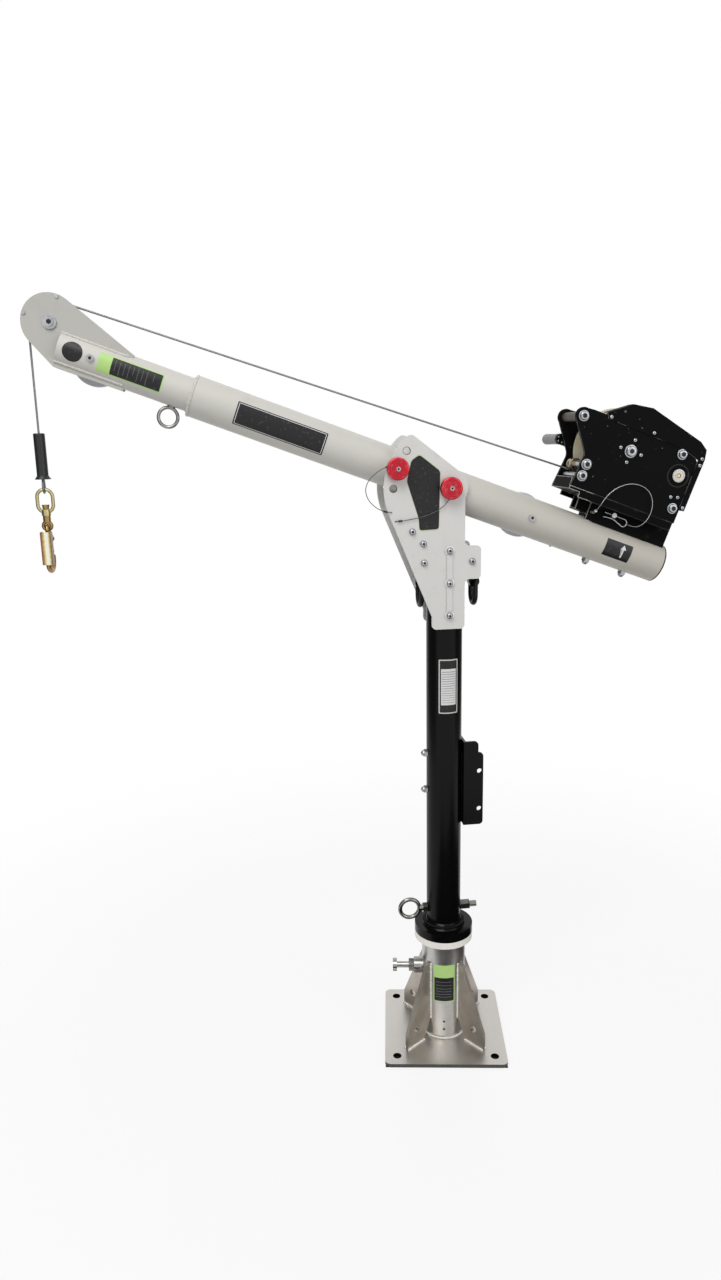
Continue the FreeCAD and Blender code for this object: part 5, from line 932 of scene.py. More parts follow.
middle = sum((Vector(p) for p in KITE), Vector((0, 0))) / len(KITE)
inner = [tuple(middle + (Vector(p) - middle) * KITE_FIELD) for p in KITE]
label("hinge_label", [(eased(KITE, KITE_CORNER), rgb(198, 212, 170)), (eased(inner, KITE_CORNER), INK)],
      flat_plate, "mast", [])


# The anchor rings are forged steel, blackened, with the scale of the forge left on them. They hang
# in straps between the hinge plates and swing freely.
ring_black = drifting("ring_black", (16, 16, 17), (40, 40, 41), (180.0, 4.0), (0.32, 0.2), (0.0002, 0.5),
                      Specular_IOR_Level=0.2)
coat(ring_black, "anchor_ring_left", "anchor_ring_right")


# The knobs of the quick-release pins are turned aluminium, anodised red, with a knurled rim,
# rings cut in the face and a bright screw in the middle.
KNOB_SEAT = -58.8
KNOB_PROFILE = [
    (0, 6.0), (0, 14.0), (8.0, 14.0), (8.0, 23.5), (8.8, 25.2), (10.0, 26.0), (20.6, 26.0), (22.0, 25.2),
    (23.0, 23.6), (23.0, 20.4), (21.9, 19.8), (21.9, 18.8), (23.0, 18.2), (23.0, 15.2), (21.9, 14.6),
    (21.9, 13.6), (23.0, 13.0), (23.0, 10.4), (22.1, 9.8), (22.1, 9.0), (23.0, 8.4), (23.0, 5.4),
]
KNURLS = 64
KNURL = (9.6, 21.0, 0.8)
STUD_FACE = -84.3
STUD_HEX = [(0, 2.4, 6), (0.15, 2.4, 6)]
PINS = {"pivot": 0.0, "lock": -LOCK_RADIUS}
BOOM_RAISE = math.radians(20.5)
BOOM_TILT = Matrix.Translation((0, 0, PIVOT_HIGH)) @ Matrix.Rotation(BOOM_RAISE, 4, "Y")
BOOM_WAY = BOOM_TILT.to_3x3() @ Vector((1, 0, 0))

red_anodised, shader, place = finish("red_anodised", Metallic=0.75)
fine = cloud(place, 900.0, 2.0)
dull = ramp(cloud(place, 90.0, 3.0), 0.5, 0.8)
red = mix(fine, rgb(182, 34, 48), rgb(206, 54, 68))
feed(shader, Base_Color=mix(0.5 * dull, red, rgb(222, 110, 120)), Roughness=0.26 + 0.14 * dull,
     Normal=bump(fine, 0.00005, 0.5))


def on_boom(x, y, z):
    """Point given in millimetres along, across and above the level boom from its pivot."""
    return BOOM_TILT @ Vector((x * MM, y * MM, z * MM))


for pin, along_boom in PINS.items():
    body = pin + "_pin"
    node = pin + "_knob"
    centre = on_boom(along_boom, 0, 0)
    mesh = turned("turned_" + node, KNOB_PROFILE, 3 * KNURLS, KNURL)
    seat = Vector((centre.x, KNOB_SEAT * MM, centre.z))
    mesh.transform(Matrix.Translation(seat) @ Matrix.Rotation(TO_FRONT[0], 4, "X"))
    mesh.materials.append(red_anodised)
    fit(place_object("turned_" + node, mesh), body, "red_anodised", node)
    stud = Vector((centre.x, STUD_FACE * MM, centre.z))
    # The knob screw's socket is a disc of painted shade.
    fixings(node + "_socket", STUD_HEX, [stud], body, socket_shade)


# The lanyards that keep the pins are thin steel wire rope. Each leaves its knob's hub, hangs in a
# bow and ends in a hole of the hinge plate, where a crimped ferrule holds it.
LANYARD_D = 2.0 * MM
LANYARD_LAY = 12.0 * MM
LANYARD_STEP = 1.2 * MM
PIVOT_LANYARD = (
    (2.5, -62.8, 1454), (-5, -62.8, 1438), (-21, -62.8, 1423), (-42, -62, 1412), (-66, -62, 1404),
    (-90, -62, 1399.5), (-109, -62.2, 1397), (-120.5, -62.2, 1396), (-127.4, -62.2, 1395.3),
    (-129, -58.9, 1395), (-129, -53, 1395),
)
PIVOT_SLACK = ((-111, -62, 1397), (-5, -62.8, 1441))
PIVOT_CRIMPS = {"plate": ((-118, -62.2, 1396), "mast"), "knob": ((0, -62.8, 1449), "pivot_pin")}
LOCK_LANYARD = (
    (-138, -62.8, 1524), (-153, -62.8, 1519), (-171, -62.8, 1509), (-190, -62.8, 1493),
    (-200, -62.8, 1470), (-193, -62.8, 1446), (-175, -62, 1428), (-158, -62.2, 1420),
    (-146.5, -62.2, 1417), (-139.6, -62.2, 1416.2), (-138, -58.9, 1416), (-138, -53, 1416),
)
LOCK_SPLIT = 0.46
CRIMP_CLEAR = 8
END_CLEAR = 4
STRANDS = 6


def spline_points(name, route, weights=None):
    """Points of the smooth curve whose control points are the route's, in metres."""
    data = bpy.data.curves.new(name, "CURVE")
    data.dimensions = "3D"
    data.resolution_u = 12
    spline = data.splines.new("NURBS")
    spline.points.add(len(route) - 1)
    for k, (point, p) in enumerate(zip(spline.points, route)):
        point.co = (*p, weights[k] if weights else 1.0)
    spline.order_u = 3
    spline.use_endpoint_u = True
    holder = place_object(name, data)
    ready = holder.evaluated_get(bpy.context.evaluated_depsgraph_get())
    mesh = bpy.data.meshes.new_from_object(ready)
    points = [v.co.copy() for v in mesh.vertices]
    bpy.data.objects.remove(holder)
    bpy.data.meshes.remove(mesh)
    return points


rope_tree, given = recipe("stranded_rope", Route="Geometry", Radius="Float", Lay="Float", Step="Float",
                          Metal="Material")


def strands(curve, given):
    """Six-strand rope swept along a curve, its strands laid round it."""
    curve = curve.node("GeometryNodeResampleCurve", {"mode": "LENGTH"}, {0: curve, "Length": given["Step"]})
    run = curve.node("GeometryNodeSplineParameter", {}, {}, "Length")
    twist = run / given["Lay"] * (2 * math.pi)
    curve = curve.node("GeometryNodeSetCurveTilt", {}, {0: curve, "Tilt": twist})
    ring = curve.node("GeometryNodeCurvePrimitiveCircle", {}, {"Resolution": 24, "Radius": given["Radius"]})
    spot = curve.node("GeometryNodeInputPosition", {}, {})
    east = spot.node("ShaderNodeSeparateXYZ", {}, {0: spot}, 0)
    north = spot.node("ShaderNodeSeparateXYZ", {}, {0: spot}, 1)
    angle = spot.sum("ARCTAN2", north, east) * (STRANDS / 2)
    wave = angle.sum("COSINE", angle)
    wave = wave.sum("ABSOLUTE", wave)
    deep = spot.node("ShaderNodeVectorMath", {"operation": "SCALE"}, {0: spot, "Scale": 0.74 + 0.26 * wave})
    section = curve.node("GeometryNodeSetPosition", {}, {0: ring, "Position": deep})
    swept = curve.node("GeometryNodeCurveToMesh", {}, {0: curve, 1: section, "Fill Caps": True})
    swept = curve.node("GeometryNodeSetShadeSmooth", {}, {0: swept})
    return curve.node("GeometryNodeSetMaterial", {}, {0: swept, "Material": given["Metal"]})


serve(strands(given["Route"].node("GeometryNodeMeshToCurve", {}, {0: given["Route"]}), given))

lanyard_wire = drifting("lanyard_wire", (64, 64, 66), (112, 112, 113), (220.0, 3.0), (0.34, 0.2),
                        Metallic=0.85)
ferrule_dark = drifting("ferrule_dark", (30, 30, 31), (70, 70, 71), (400.0, 3.0), (0.3, 0.25), Metallic=0.8)


def length_of(points):
    return sum((b - a).length for a, b in zip(points, points[1:]))


def twisted(name, points, diameter, lay, step, metal):
    """Stranded wire along the points of a cord's curve."""
    return cook(name, lines(name, [points]), rope_tree, Radius=diameter / 2, Lay=lay, Step=step, Metal=metal)


def lanyard(name, points, metal):
    return twisted(name, points, LANYARD_D, LANYARD_LAY, LANYARD_STEP, metal)


def as_cord(made, node, slot, points, diameter, lay, **more):
    """Says that a piece is a cord along these points, in the place of a CAD node."""
    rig.replaces(made, node)
    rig.slot(made, slot)
    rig.cord(made, points[0], length_of(points), diameter, "object", "medium", lay, points, **more)


FERRULE = [(-4.6, 1.6), (-4.6, 2.1), (-4.2, 2.5), (-2.0, 2.5), (-1.2, 2.1), (1.2, 2.1), (2.0, 2.5),
           (4.2, 2.5), (4.6, 2.1), (4.6, 1.6)]


def nearest(points, spot):
    """Index of the cord's point nearest to a spot in millimetres."""
    return min(range(len(points)), key=lambda k: (points[k] - Vector(spot) * MM).length)


def ferrule(name, points, spot, body, metal, size=1.0):
    """Crimped sleeve on a wire where it passes the spot."""
    k = nearest(points, spot)
    way = (points[k + 2] - points[k - 2]).normalized()
    mesh = turned(name, [(size * height, size * radius) for height, radius in FERRULE], 20)
    lean = Vector((0, 0, 1)).rotation_difference(way)
    mesh.transform(Matrix.Translation(points[k]) @ lean.to_matrix().to_4x4())
    mesh.materials.append(metal)
    return fit(place_object(name, mesh), body, "lanyard_steel")


pivot_points = spline_points("pivot_route", [Vector(p) * MM for p in PIVOT_LANYARD])
pivot_wire = lanyard("pivot_lanyard_wire", pivot_points, lanyard_wire)
slack = [pivot_points[nearest(pivot_points, spot)] for spot in PIVOT_SLACK]
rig.blend(pivot_wire, "mast", "pivot_pin", start=slack[0], end=slack[1])
crimps = [ferrule("pivot_ferrule_" + end, pivot_points, spot, body, ferrule_dark)
          for end, (spot, body) in PIVOT_CRIMPS.items()]
as_cord(pivot_wire, "pivot_lanyard", "lanyard_steel", pivot_points, LANYARD_D, "hanging", with_pieces=crimps)

lock_points = spline_points("lock_route", [Vector(p) * MM for p in LOCK_LANYARD])
middle = int(len(lock_points) * LOCK_SPLIT)
halves = {
    "upper": (lock_points[:middle + 1], ("lock_pin", "boom"), (-146, -62.8, 1521.5)),
    "lower": (lock_points[middle:], ("boom", "mast"), (-153, -62.2, 1418.6)),
}
for half, (points, bodies, spot) in halves.items():
    wire = lanyard("lock_lanyard_" + half, points, lanyard_wire)
    held = nearest(points, spot)
    at_start = held < len(points) / 2
    first = held + CRIMP_CLEAR if at_start else END_CLEAR
    last = len(points) - 1 - END_CLEAR if at_start else held - CRIMP_CLEAR
    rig.blend(wire, *bodies, start=points[first], end=points[last])
    crimp = ferrule("lock_ferrule_" + half, points, spot, bodies[0 if at_start else 1], ferrule_dark)
    as_cord(wire, "lock_lanyard", "lanyard_steel", points, LANYARD_D, "hanging", with_pieces=[crimp])


# The boom is two steel tubes, one let into the other and welded, powder coated warm pale grey.
# The coat has a fine even grain and rubbed patches, and painted shade makes it slightly browner
# and darker towards the rear.
REAR_SHADE_ALONG = (-200.0, 600.0)
boom_paint, shader, place = finish("boom_powder_coat")
fine = cloud(place, 1100.0, 2.0)
rub = ramp(cloud(place, 18.0, 5.0), 0.5, 0.85)
colour = mix(fine, rgb(199, 197, 190), rgb(217, 215, 208))
# Painted shade: the coat turns browner and darker towards the rear.
rear_shade = ramp(along(place, BOOM_WAY), *(BOOM_WAY.dot(on_boom(x, 0, 0)) for x in REAR_SHADE_ALONG))
colour = mix(0.7 * rear_shade, colour, rgb(188, 182, 170))
feed(shader, Base_Color=mix(0.25 * rub, colour, rgb(176, 173, 165)), Roughness=0.42 + 0.14 * fine,
     Normal=bump(fine, 0.00014, 0.6))
coat(boom_paint, "boom_outer_tube", "boom_inner_tube", "boom_bushes")


# The boom carries bare film labels: a dark disc and a green and dark strip by the head, a wide dark
# panel before the hinge, and a small one at the rear with a plain arrow up to the winch.
BOOM_R = 47.0
FRONT_R = 38.1
LEVEL = [(cut, (0, 1, 0)) for cut, way in UPRIGHT]
DISC_MIDDLE = -883.7
DISC_R = 21.7
BARS = ((-791, -9), (-781, -15), (-771, -12), (-761, -15), (-751, -4), (-741, -15), (-731, -10), (-721, -15),
        (-706, -2))
ARROW = ((460.5, -19), (464.0, -19), (464.0, 2), (469.5, 2), (462.2, 13), (455.0, 2), (460.5, 2))


def on_tube(radius):
    """Wrap for a label on the boom's front side, along the boom and up its curve."""
    def wrap(back, up, lift):
        t = up / (radius * MM)
        out = radius + lift / MM
        return on_boom(back / MM, -out * math.cos(t), out * math.sin(t))
    return wrap


def boom_label(name, radius, *fields):
    return label(name, fields, on_tube(radius), "boom", LEVEL)


disc = [(DISC_MIDDLE + x, z) for x, z in circle(DISC_R, 60)]
boom_label("head_disc_label", FRONT_R, (disc, INK))
bars = [(panel(x, low, x + 0.9, 15.0, 0.3), RULE) for x, low in BARS]
boom_label("head_strip_label", FRONT_R, (panel(-828.0, -21.5, -685.0, 21.5), GREEN),
           (panel(-799.0, -19.0, -687.5, 19.0, 2.0), INK), *bars)
boom_label("boom_panel_label", BOOM_R, (panel(-517.0, -31.0, -305.0, 23.0, 2.0), INK),
           (panel(-514.0, -28.5, -308.0, 20.5, 1.5), PAPER), (panel(-512.6, -27.1, -309.4, 19.1, 1.2), INK))
boom_label("rear_panel_label", BOOM_R, (panel(415.0, -26.0, 485.0, 17.5, 1.5), INK), (ARROW, PAPER))


# The boom's end cap is a plug of moulded black plastic, pressed into the rear tube, so that only its
# edge and face show.
black_plastic = drifting("moulded_black", (20, 20, 21), (34, 34, 35), (800.0, 2.0), (0.45, 0.15),
                         (0.0001, 0.5), Specular_IOR_Level=0.2)
coat(black_plastic, "boom_end_cap")


# The head plates are flat steel let into slots in the tube's end and welded, in the boom's powder
# coat, with the sheave between them.
head_paint, shader, place = finish("head_powder_coat")
fine = cloud(place, 1100.0, 2.0)
rub = ramp(cloud(place, 24.0, 5.0), 0.5, 0.85)
colour = mix(fine, rgb(178, 177, 171), rgb(194, 193, 187))
feed(shader, Base_Color=mix(0.3 * rub, colour, rgb(160, 158, 151)), Roughness=0.44 + 0.14 * fine,
     Normal=bump(fine, 0.00014, 0.6))
coat(head_paint, "head_plates")

HEAD_FACE = 22.0
HEAD_SEAM = HEAD_FACE + 0.5
HEAD_FRONT = -916.0
SEAM_RISE = math.sqrt(FRONT_R ** 2 - HEAD_FACE ** 2)
HEAD_TAILS = ((SEAM_RISE, -772.0), (-SEAM_RISE, -768.0))
TUBE_STEP = -618.0
STEP_SEAM_R = 44.0
BOOM_BEAD = 3.8 * MM
BOOM_PITCH = 2.3 * MM
SHEAVE = (-948.0, 43.0)
AXLE_FACE = -30.0
AXLE_HEX = [(0, 5.0, 6), (0.2, 5.0, 6)]
LINE_HEADS = ((-845.0, -42.1), (216.0, -51.0))
LINE_HEX = [(0, 3.4, 6), (0.2, 3.4, 6)]
EARTH_HEAD = [(-0.6, 3.0), (1.4, 3.0), (2.3, 2.3), (2.7, 1.2)]
EARTH_ALONG = 301.0
UNDER_BOOM = (math.pi, BOOM_RAISE, 0.0)

seams = []
for side in (-HEAD_SEAM, HEAD_SEAM):
    for rise, tail in HEAD_TAILS:
        seams.append([on_boom(x, side, rise) for x in (HEAD_FRONT, tail)])
seams.append([on_boom(TUBE_STEP, y, z) for y, z in circle(STEP_SEAM_R, 72, True)])
weld("boom_welds", seams, "boom", "boom_paint", Radius=BOOM_BEAD, Pitch=BOOM_PITCH, Metal=boom_paint)

# The axles' hex sockets are discs of painted shade.
fixings("axle_socket", AXLE_HEX, [on_boom(SHEAVE[0], AXLE_FACE, SHEAVE[1])], "boom", socket_shade)
fixings("line_axle_sockets", LINE_HEX, [on_boom(x, y, 0.0) for x, y in LINE_HEADS], "boom", socket_shade)
fixings("earth_screw", EARTH_HEAD, [on_boom(EARTH_ALONG, 0.0, -BOOM_R)], "boom", zinc, steps=24,
        turn=UNDER_BOOM)


# Sheave and line pulleys are turned from bluish white nylon, rubbed a little darker in patches, and
# run on plated axles.
pulley_nylon, shader, place = finish("pulley_nylon", Roughness=0.36)
lathe_marks = cloud(place, 260.0, 3.0)
rub = ramp(cloud(place, 50.0, 4.0), 0.5, 0.8) * 0.35
feed(shader, Base_Color=mix(rub, rgb(215, 219, 228), rgb(190, 194, 203)),
     Normal=bump(lathe_marks, 0.00005, 0.4))
coat(pulley_nylon, "sheave", "line_pulley_front", "line_pulley_rear")


# The load rope is six-strand galvanised wire rope, 4.8 mm thick. It leaves the drum, runs taut
# above the boom, bends over the sheave and drops plumb to the stop sleeve.
ROPE_D = 4.8 * MM
ROPE_LAY = 30.0 * MM
ROPE_STEP = 2.4 * MM
DRUM = (380.0, 222.0)
ROPE_ON_SHEAVE = 49.0
ROPE_ON_DRUM = 75.0
DRUM_OUTLET = 37.4
DROP_LOW = 1609.0
HOIST = 152.0 * MM
STEADY = 6 * ROPE_D

rope_steel = drifting("rope_wire", (104, 105, 107), (158, 159, 161), (300.0, 3.0), (0.32, 0.22),
                      (0.0001, 0.5), (2600.0, 1.0), Metallic=0.9)


def rope(name, points, step=ROPE_STEP):
    return twisted(name, points, ROPE_D, ROPE_LAY, step, rope_steel)


span = Vector((SHEAVE[0] - DRUM[0], SHEAVE[1] - DRUM[1]))
way = span.normalized()
cross = (ROPE_ON_DRUM + ROPE_ON_SHEAVE) / span.length
rise = math.sqrt(1 - cross * cross)
touch = Vector((-cross * way.x + rise * way.y, -cross * way.y - rise * way.x))
touch_angle = math.atan2(touch.y, touch.x)
leave_angle = math.pi + BOOM_RAISE
half_sweep = (leave_angle - touch_angle) / 2


def by_sheave(angle, radius):
    return on_boom(SHEAVE[0] + radius * math.cos(angle), 0, SHEAVE[1] + radius * math.sin(angle))


run_start = on_boom(DRUM[0] - touch.x * ROPE_ON_DRUM, DRUM_OUTLET, DRUM[1] - touch.y * ROPE_ON_DRUM)
run_stop = by_sheave(touch_angle, ROPE_ON_SHEAVE)
along_run = (run_stop - run_start).normalized()
steady = along_run * STEADY
run_points = spline_points("run_route", [run_start, run_start + steady, run_stop - steady, run_stop])
rope_run = rope("rope_run_strands", run_points)
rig.ride(rope_run, "boom")
as_cord(rope_run, "rope_run", "rope_steel", run_points, ROPE_D, "taut")

corner = by_sheave(touch_angle + half_sweep, ROPE_ON_SHEAVE / math.cos(half_sweep))
drop_top = by_sheave(leave_angle, ROPE_ON_SHEAVE)
bend_points = spline_points("bend_route", [run_stop, corner, drop_top], [1.0, math.cos(half_sweep), 1.0])
rope_bend = rope("rope_bend_strands", bend_points)
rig.blend(rope_bend, "boom", "rope_line", start=run_stop, end=drop_top)
as_cord(rope_bend, "rope_run", "rope_steel", bend_points, ROPE_D, "taut")

drop_low = Vector((drop_top.x, 0, DROP_LOW * MM))
down = Vector((0, 0, -STEADY))
drop_points = spline_points("drop_route", [drop_top, drop_top + down, drop_low - down, drop_low])
rope_drop = rope("rope_drop_strands", drop_points)
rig.ride(rope_drop, "rope_line")
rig.squash(rope_drop, "hook_raise", (0, 0, 1), drop_top, 1 - HOIST / (drop_top - drop_low).length)
as_cord(rope_drop, "rope_drop", "rope_steel", drop_points, ROPE_D, "hanging")


# The rope's outer layer lies on the drum in twelve turns beside each other, from the far flange
# to the near one.
TURNS = 12.0
TURN_PITCH = 5.4 * MM
TURN_STEP = 3.6 * MM
winding_tree, given = recipe("drum_winding", Turns="Float", Drum="Float", Width="Float", Radius="Float",
                             Lay="Float", Step="Float", Metal="Material")
spiral = given["Turns"].node("GeometryNodeCurveSpiral", {}, {
    "Resolution": 48, "Rotations": given["Turns"], "Start Radius": given["Drum"], "End Radius": given["Drum"],
    "Height": given["Width"]})
serve(strands(spiral, given))
winding = cook("drum_winding", bpy.data.meshes.new("spool"), winding_tree, Turns=TURNS,
               Drum=ROPE_ON_DRUM * MM, Width=TURNS * TURN_PITCH, Radius=ROPE_D / 2, Lay=ROPE_LAY,
               Step=TURN_STEP, Metal=rope_steel)
spool = Matrix.Translation((DRUM[0] * MM, DRUM_OUTLET * MM, DRUM[1] * MM))
phase = Matrix.Rotation(-touch_angle - math.pi, 4, "Y") @ Matrix.Rotation(TO_FRONT[0], 4, "X")
winding.data.transform(BOOM_TILT @ spool @ phase)
fit(winding, "drum", "rope_steel", "drum_rope")


# The winch slides on a black painted rail. Its case is folded and cut steel in textured black
# powder coat, scratched pale where tools and shackles have knocked it, with pale edges that are
# partly chipped paint and partly painted highlight.
CASE_EDGE = 1.6 * MM
RAIL_EDGE = 3.4 * MM
RAIL_PALE_EDGES_TO = 358.0
FOOT_PALE_EDGES_TO = 324.0
PALE_EDGES_FADE = 12.0 * MM


def edge_wear_and_highlight(place, reach):
    """1 along a solid's edges, 0 on its flats."""
    soft = place.node("ShaderNodeBevel", {"samples": 6}, {"Radius": reach})
    flat = place.node("ShaderNodeNewGeometry", {}, {}, "Normal")
    agree = soft.node("ShaderNodeVectorMath", {"operation": "DOT_PRODUCT"}, {0: soft, 1: flat}, "Value")
    return ramp(agree, 0.98, 0.86)


winch_black, shader, place = finish("textured_black", Specular_IOR_Level=0.05)
texture = cloud(place, 1500.0, 2.0)
knock = ramp(cloud(place, 130.0, 5.0), 0.69, 0.72)
line = ramp(cloud(place, 240.0, 2.0, (0.12, 1.0, 1.0)), 0.76, 0.79)
# The case's edges are pale in patches: partly chipped paint, partly painted highlight.
edge = edge_wear_and_highlight(place, CASE_EDGE) * ramp(cloud(place, 28.0, 4.0), 0.42, 0.62)
colour = mix(texture, rgb(6, 6, 7), rgb(17, 17, 18))
colour = mix(0.6 * knock + 0.5 * line, colour, rgb(132, 131, 129))
feed(shader, Base_Color=mix(0.8 * edge, colour, rgb(168, 167, 164)), Roughness=0.46 + 0.2 * texture,
     Normal=bump(texture, 0.00025, 0.7))
coat(winch_black, "winch_side_near", "winch_side_far", "gear_cover", "crank_arm")


def worn_edge_lit_black(name, front):
    """Black paint, its front-end edges pale up to a place along the boom: bare metal and painted highlight."""
    material, shader, place = finish(name, Specular_IOR_Level=0.02)
    pale_edges_to = BOOM_WAY.dot(on_boom(front, 0, 0))
    texture = cloud(place, 1500.0, 2.0)
    rub = ramp(cloud(place, 40.0, 5.0), 0.58, 0.74)
    ends = ramp(along(place, BOOM_WAY), pale_edges_to + PALE_EDGES_FADE, pale_edges_to) * 0.94 + 0.06
    # Pale edges at the front end: partly paint rubbed off, partly painted highlight.
    edge = edge_wear_and_highlight(place, RAIL_EDGE) * ramp(cloud(place, 34.0, 4.0), 0.26, 0.46) * ends
    colour = mix(texture, rgb(8, 8, 9), rgb(24, 24, 25))
    colour = mix(0.3 * rub, colour, rgb(70, 69, 67))
    feed(shader, Base_Color=mix(0.95 * edge, colour, rgb(226, 223, 217)), Roughness=0.4 + 0.2 * texture,
         Normal=bump(texture, 0.0002, 0.7))
    return material


worn_rail = worn_edge_lit_black("worn_rail", RAIL_PALE_EDGES_TO)
coat(worn_rail, "winch_rail")
coat(worn_edge_lit_black("worn_foot", FOOT_PALE_EDGES_TO), "winch_foot")


# The rods of the case are plated. The front one carries a dark grip roller, and a brass spool on
# the upper rope guide leads the rope to the drum.
ROLLER = on_boom(240.5, 0.0, 258.6)
ROLLER_RIM = (20.0 * MM, 18.0 * MM)
ROLLER_HALF = 56.1 * MM
SPOOL_END = (289.0, 31.5, 158.2)
SPOOL = [(0, 8.2), (0, 13.8), (0.6, 14.4), (4.6, 14.4), (8.0, 11.6), (18.0, 11.6), (21.4, 14.4), (25.4, 14.4),
         (26.0, 13.8), (26.0, 8.2)]

rod_metal, shader, place = finish("rod_plate")
smear = cloud(place, 70.0, 4.0)
grip = ramp(from_axis(place, tuple(ROLLER)), *ROLLER_RIM)
flank = place.node("ShaderNodeSeparateXYZ", {}, {0: place}, 1)
grip = grip * flank.sum("LESS_THAN", flank.sum("ABSOLUTE", flank), ROLLER_HALF)
metal = mix(smear, rgb(132, 135, 139), rgb(200, 202, 205))
feed(shader, Base_Color=mix(grip, metal, rgb(84, 79, 74)), Roughness=0.18 + 0.2 * smear + 0.25 * grip,
     Metallic=1.0 - 0.6 * grip, Normal=bump(smear, 0.0001, 0.4))
coat(rod_metal, "winch_tie_rods")

brass = drifting("spool_brass", (132, 116, 84), (214, 204, 170), (120.0, 4.0), (0.14, 0.18), (0.0001, 0.4),
                 Metallic=1.0)
fixings("guide_spool", SPOOL, [on_boom(*SPOOL_END)], "boom", brass, "gold_zinc", 40)


# Plated socket screws hold the case's rods and cover. The pinion runs in a turned bearing that is let
# into the case, and five small screws sit in the end of the crank.
CASE_FACE = -62.0
COVER_FACE = -64.0
ROD_SPOTS = ((240.5, 258.6), (289.0, 158.2), (289.0, 130.4), (504.0, 258.0), (532.0, 133.0))
SMALL_SPOTS = ((380.0, 249.0), (407.0, 222.0), (380.0, 195.0), (353.0, 222.0), (517.0, 156.5), (534.0, 161.0))
COVER_SPOTS = ((304.0, 278.0), (417.0, 279.5), (554.0, 264.0), (555.0, 248.0), (555.0, 142.0))
ROD_HEAD = [(0, 12.6), (1.5, 12.6), (1.8, 12.2), (1.8, 10.4), (6.4, 10.2), (7.8, 9.2), (8.3, 8.0),
            (8.3, 5.4, 6), (7.1, 5.4, 6)]
DRUM_HEAD_WIDER = 1.2
DRUM_HEAD = [(height, radius * DRUM_HEAD_WIDER, *sides) for height, radius, *sides in ROD_HEAD]
ROD_HEX = [(7.1, 5.2, 6), (7.3, 5.2, 6)]
SMALL_HEAD = [(0, 4.6), (1.2, 4.6), (2.4, 3.8), (3.0, 2.6), (3.0, 1.6, 6), (1.8, 1.6, 6)]
SMALL_HEX = [(1.8, 1.5, 6), (2.0, 1.5, 6)]
PINION = (514.34, 208.71)
BEARING_FACE = -65.3
SHAFT_RIM = (6.2 * MM, 5.4 * MM)
SHAFT_CENTRE = (4.2 * MM, 3.6 * MM)
BEARING = [(0, 15.7), (0.9, 15.7), (1.3, 15.2), (1.3, 12.8), (0.3, 12.4), (0.3, 9.4), (1.1, 9.0), (1.1, 5.6),
           (0.3, 5.2), (0.3, 3.0)]
RECESS = [(0, 28.0), (0.5, 28.0), (0.8, 27.5), (0.8, 26.4), (0.3, 26.0), (0.3, 17.0)]
CRANK_FACE = 74.0
ARM_END = (255.34, 208.71)
ARM_SCREW = [(0, 2.4), (0.8, 2.3), (1.3, 1.4)]
ARM_SCREW_R = 8.5
ARM_SCREW_TURN = math.radians(15)


def on_case(spots, face=CASE_FACE):
    """Places on a face of the case or the crank, given along and above the boom."""
    return [on_boom(x, face, z) for x, z in spots]


# The sockets of the case's rods and screws are discs of painted shade.
rods = on_case(ROD_SPOTS)
fixings("winch_rod_heads", ROD_HEAD, rods, "boom", zinc)
fixings("winch_rod_sockets", ROD_HEX, rods, "boom", socket_shade)
drum_bolt = on_case([DRUM])
fixings("drum_bolt_head", DRUM_HEAD, drum_bolt, "boom", zinc)
fixings("drum_bolt_socket", ROD_HEX, drum_bolt, "boom", socket_shade)
small = on_case(SMALL_SPOTS) + on_case(COVER_SPOTS, COVER_FACE)
fixings("case_screws", SMALL_HEAD, small, "boom", zinc, steps=24)
fixings("case_screw_sockets", SMALL_HEX, small, "boom", socket_shade, steps=24)
fixings("bearing_recess", RECESS, on_case([PINION]), "boom", worn_rail, "winch_black", 48)

bearing_spots = on_case([PINION], BEARING_FACE)
bearing_metal, shader, place = finish("bearing_races", Metallic=0.9)
oil = cloud(place, 300.0, 3.0)
away = from_axis(place, tuple(bearing_spots[0]))
metal = mix(oil, rgb(140, 136, 128), rgb(206, 203, 197))
metal = mix(ramp(away, *SHAFT_RIM), metal, rgb(92, 86, 76))
metal = mix(ramp(away, *SHAFT_CENTRE), metal, rgb(196, 172, 122))
feed(shader, Base_Color=metal, Roughness=0.2 + 0.2 * oil, Normal=bump(oil, 0.0001, 0.4))
fixings("bearing_face", BEARING, bearing_spots, "crank", bearing_metal, steps=48)

arm_spots = [(ARM_END[0] + x, ARM_END[1] + z) for x, z in circle(ARM_SCREW_R, 5, start=ARM_SCREW_TURN)]
fixings("crank_end_screws", ARM_SCREW, on_case(arm_spots, CRANK_FACE), "crank", zinc, steps=18)


# The drum, the link and the hook's parts are yellow passivated steel, gold with green and pink lights
# in it. The drum is paler, partly its own tone and partly painted light where it lies in shade inside
# the winch; the swivel and hook body are browner, and the lever is brightest at its middle.


def hues(value, *stops):
    """Colours along a value from 0 to 1; a stop is a place and a colour."""
    stops = [(place, rgb(*colour)[:3]) for place, *colour in stops]
    return value.node("ShaderNodeValToRGB", {"stops": stops}, {0: value})


gold_zinc, shader, place = finish("gold_passivated", Metallic=1.0)
hue = hues(cloud(place, 60.0, 4.0), (0.25, 168, 146, 106), (0.42, 204, 186, 136), (0.55, 192, 190, 146),
           (0.66, 206, 176, 146), (0.8, 158, 134, 98))
wear = cloud(place, 260.0, 3.0)
feed(shader, Base_Color=mix(0.3 * wear, hue, rgb(118, 102, 72)), Roughness=0.2 + 0.22 * wear,
     Normal=bump(wear, 0.00012, 0.4))
coat(gold_zinc, "oval_link", "hook_gate")

lit_drum_gold, shader, place = finish("drum_passivated", Metallic=0.3)
drift = cloud(place, 40.0, 4.0)
wear = cloud(place, 220.0, 3.0)
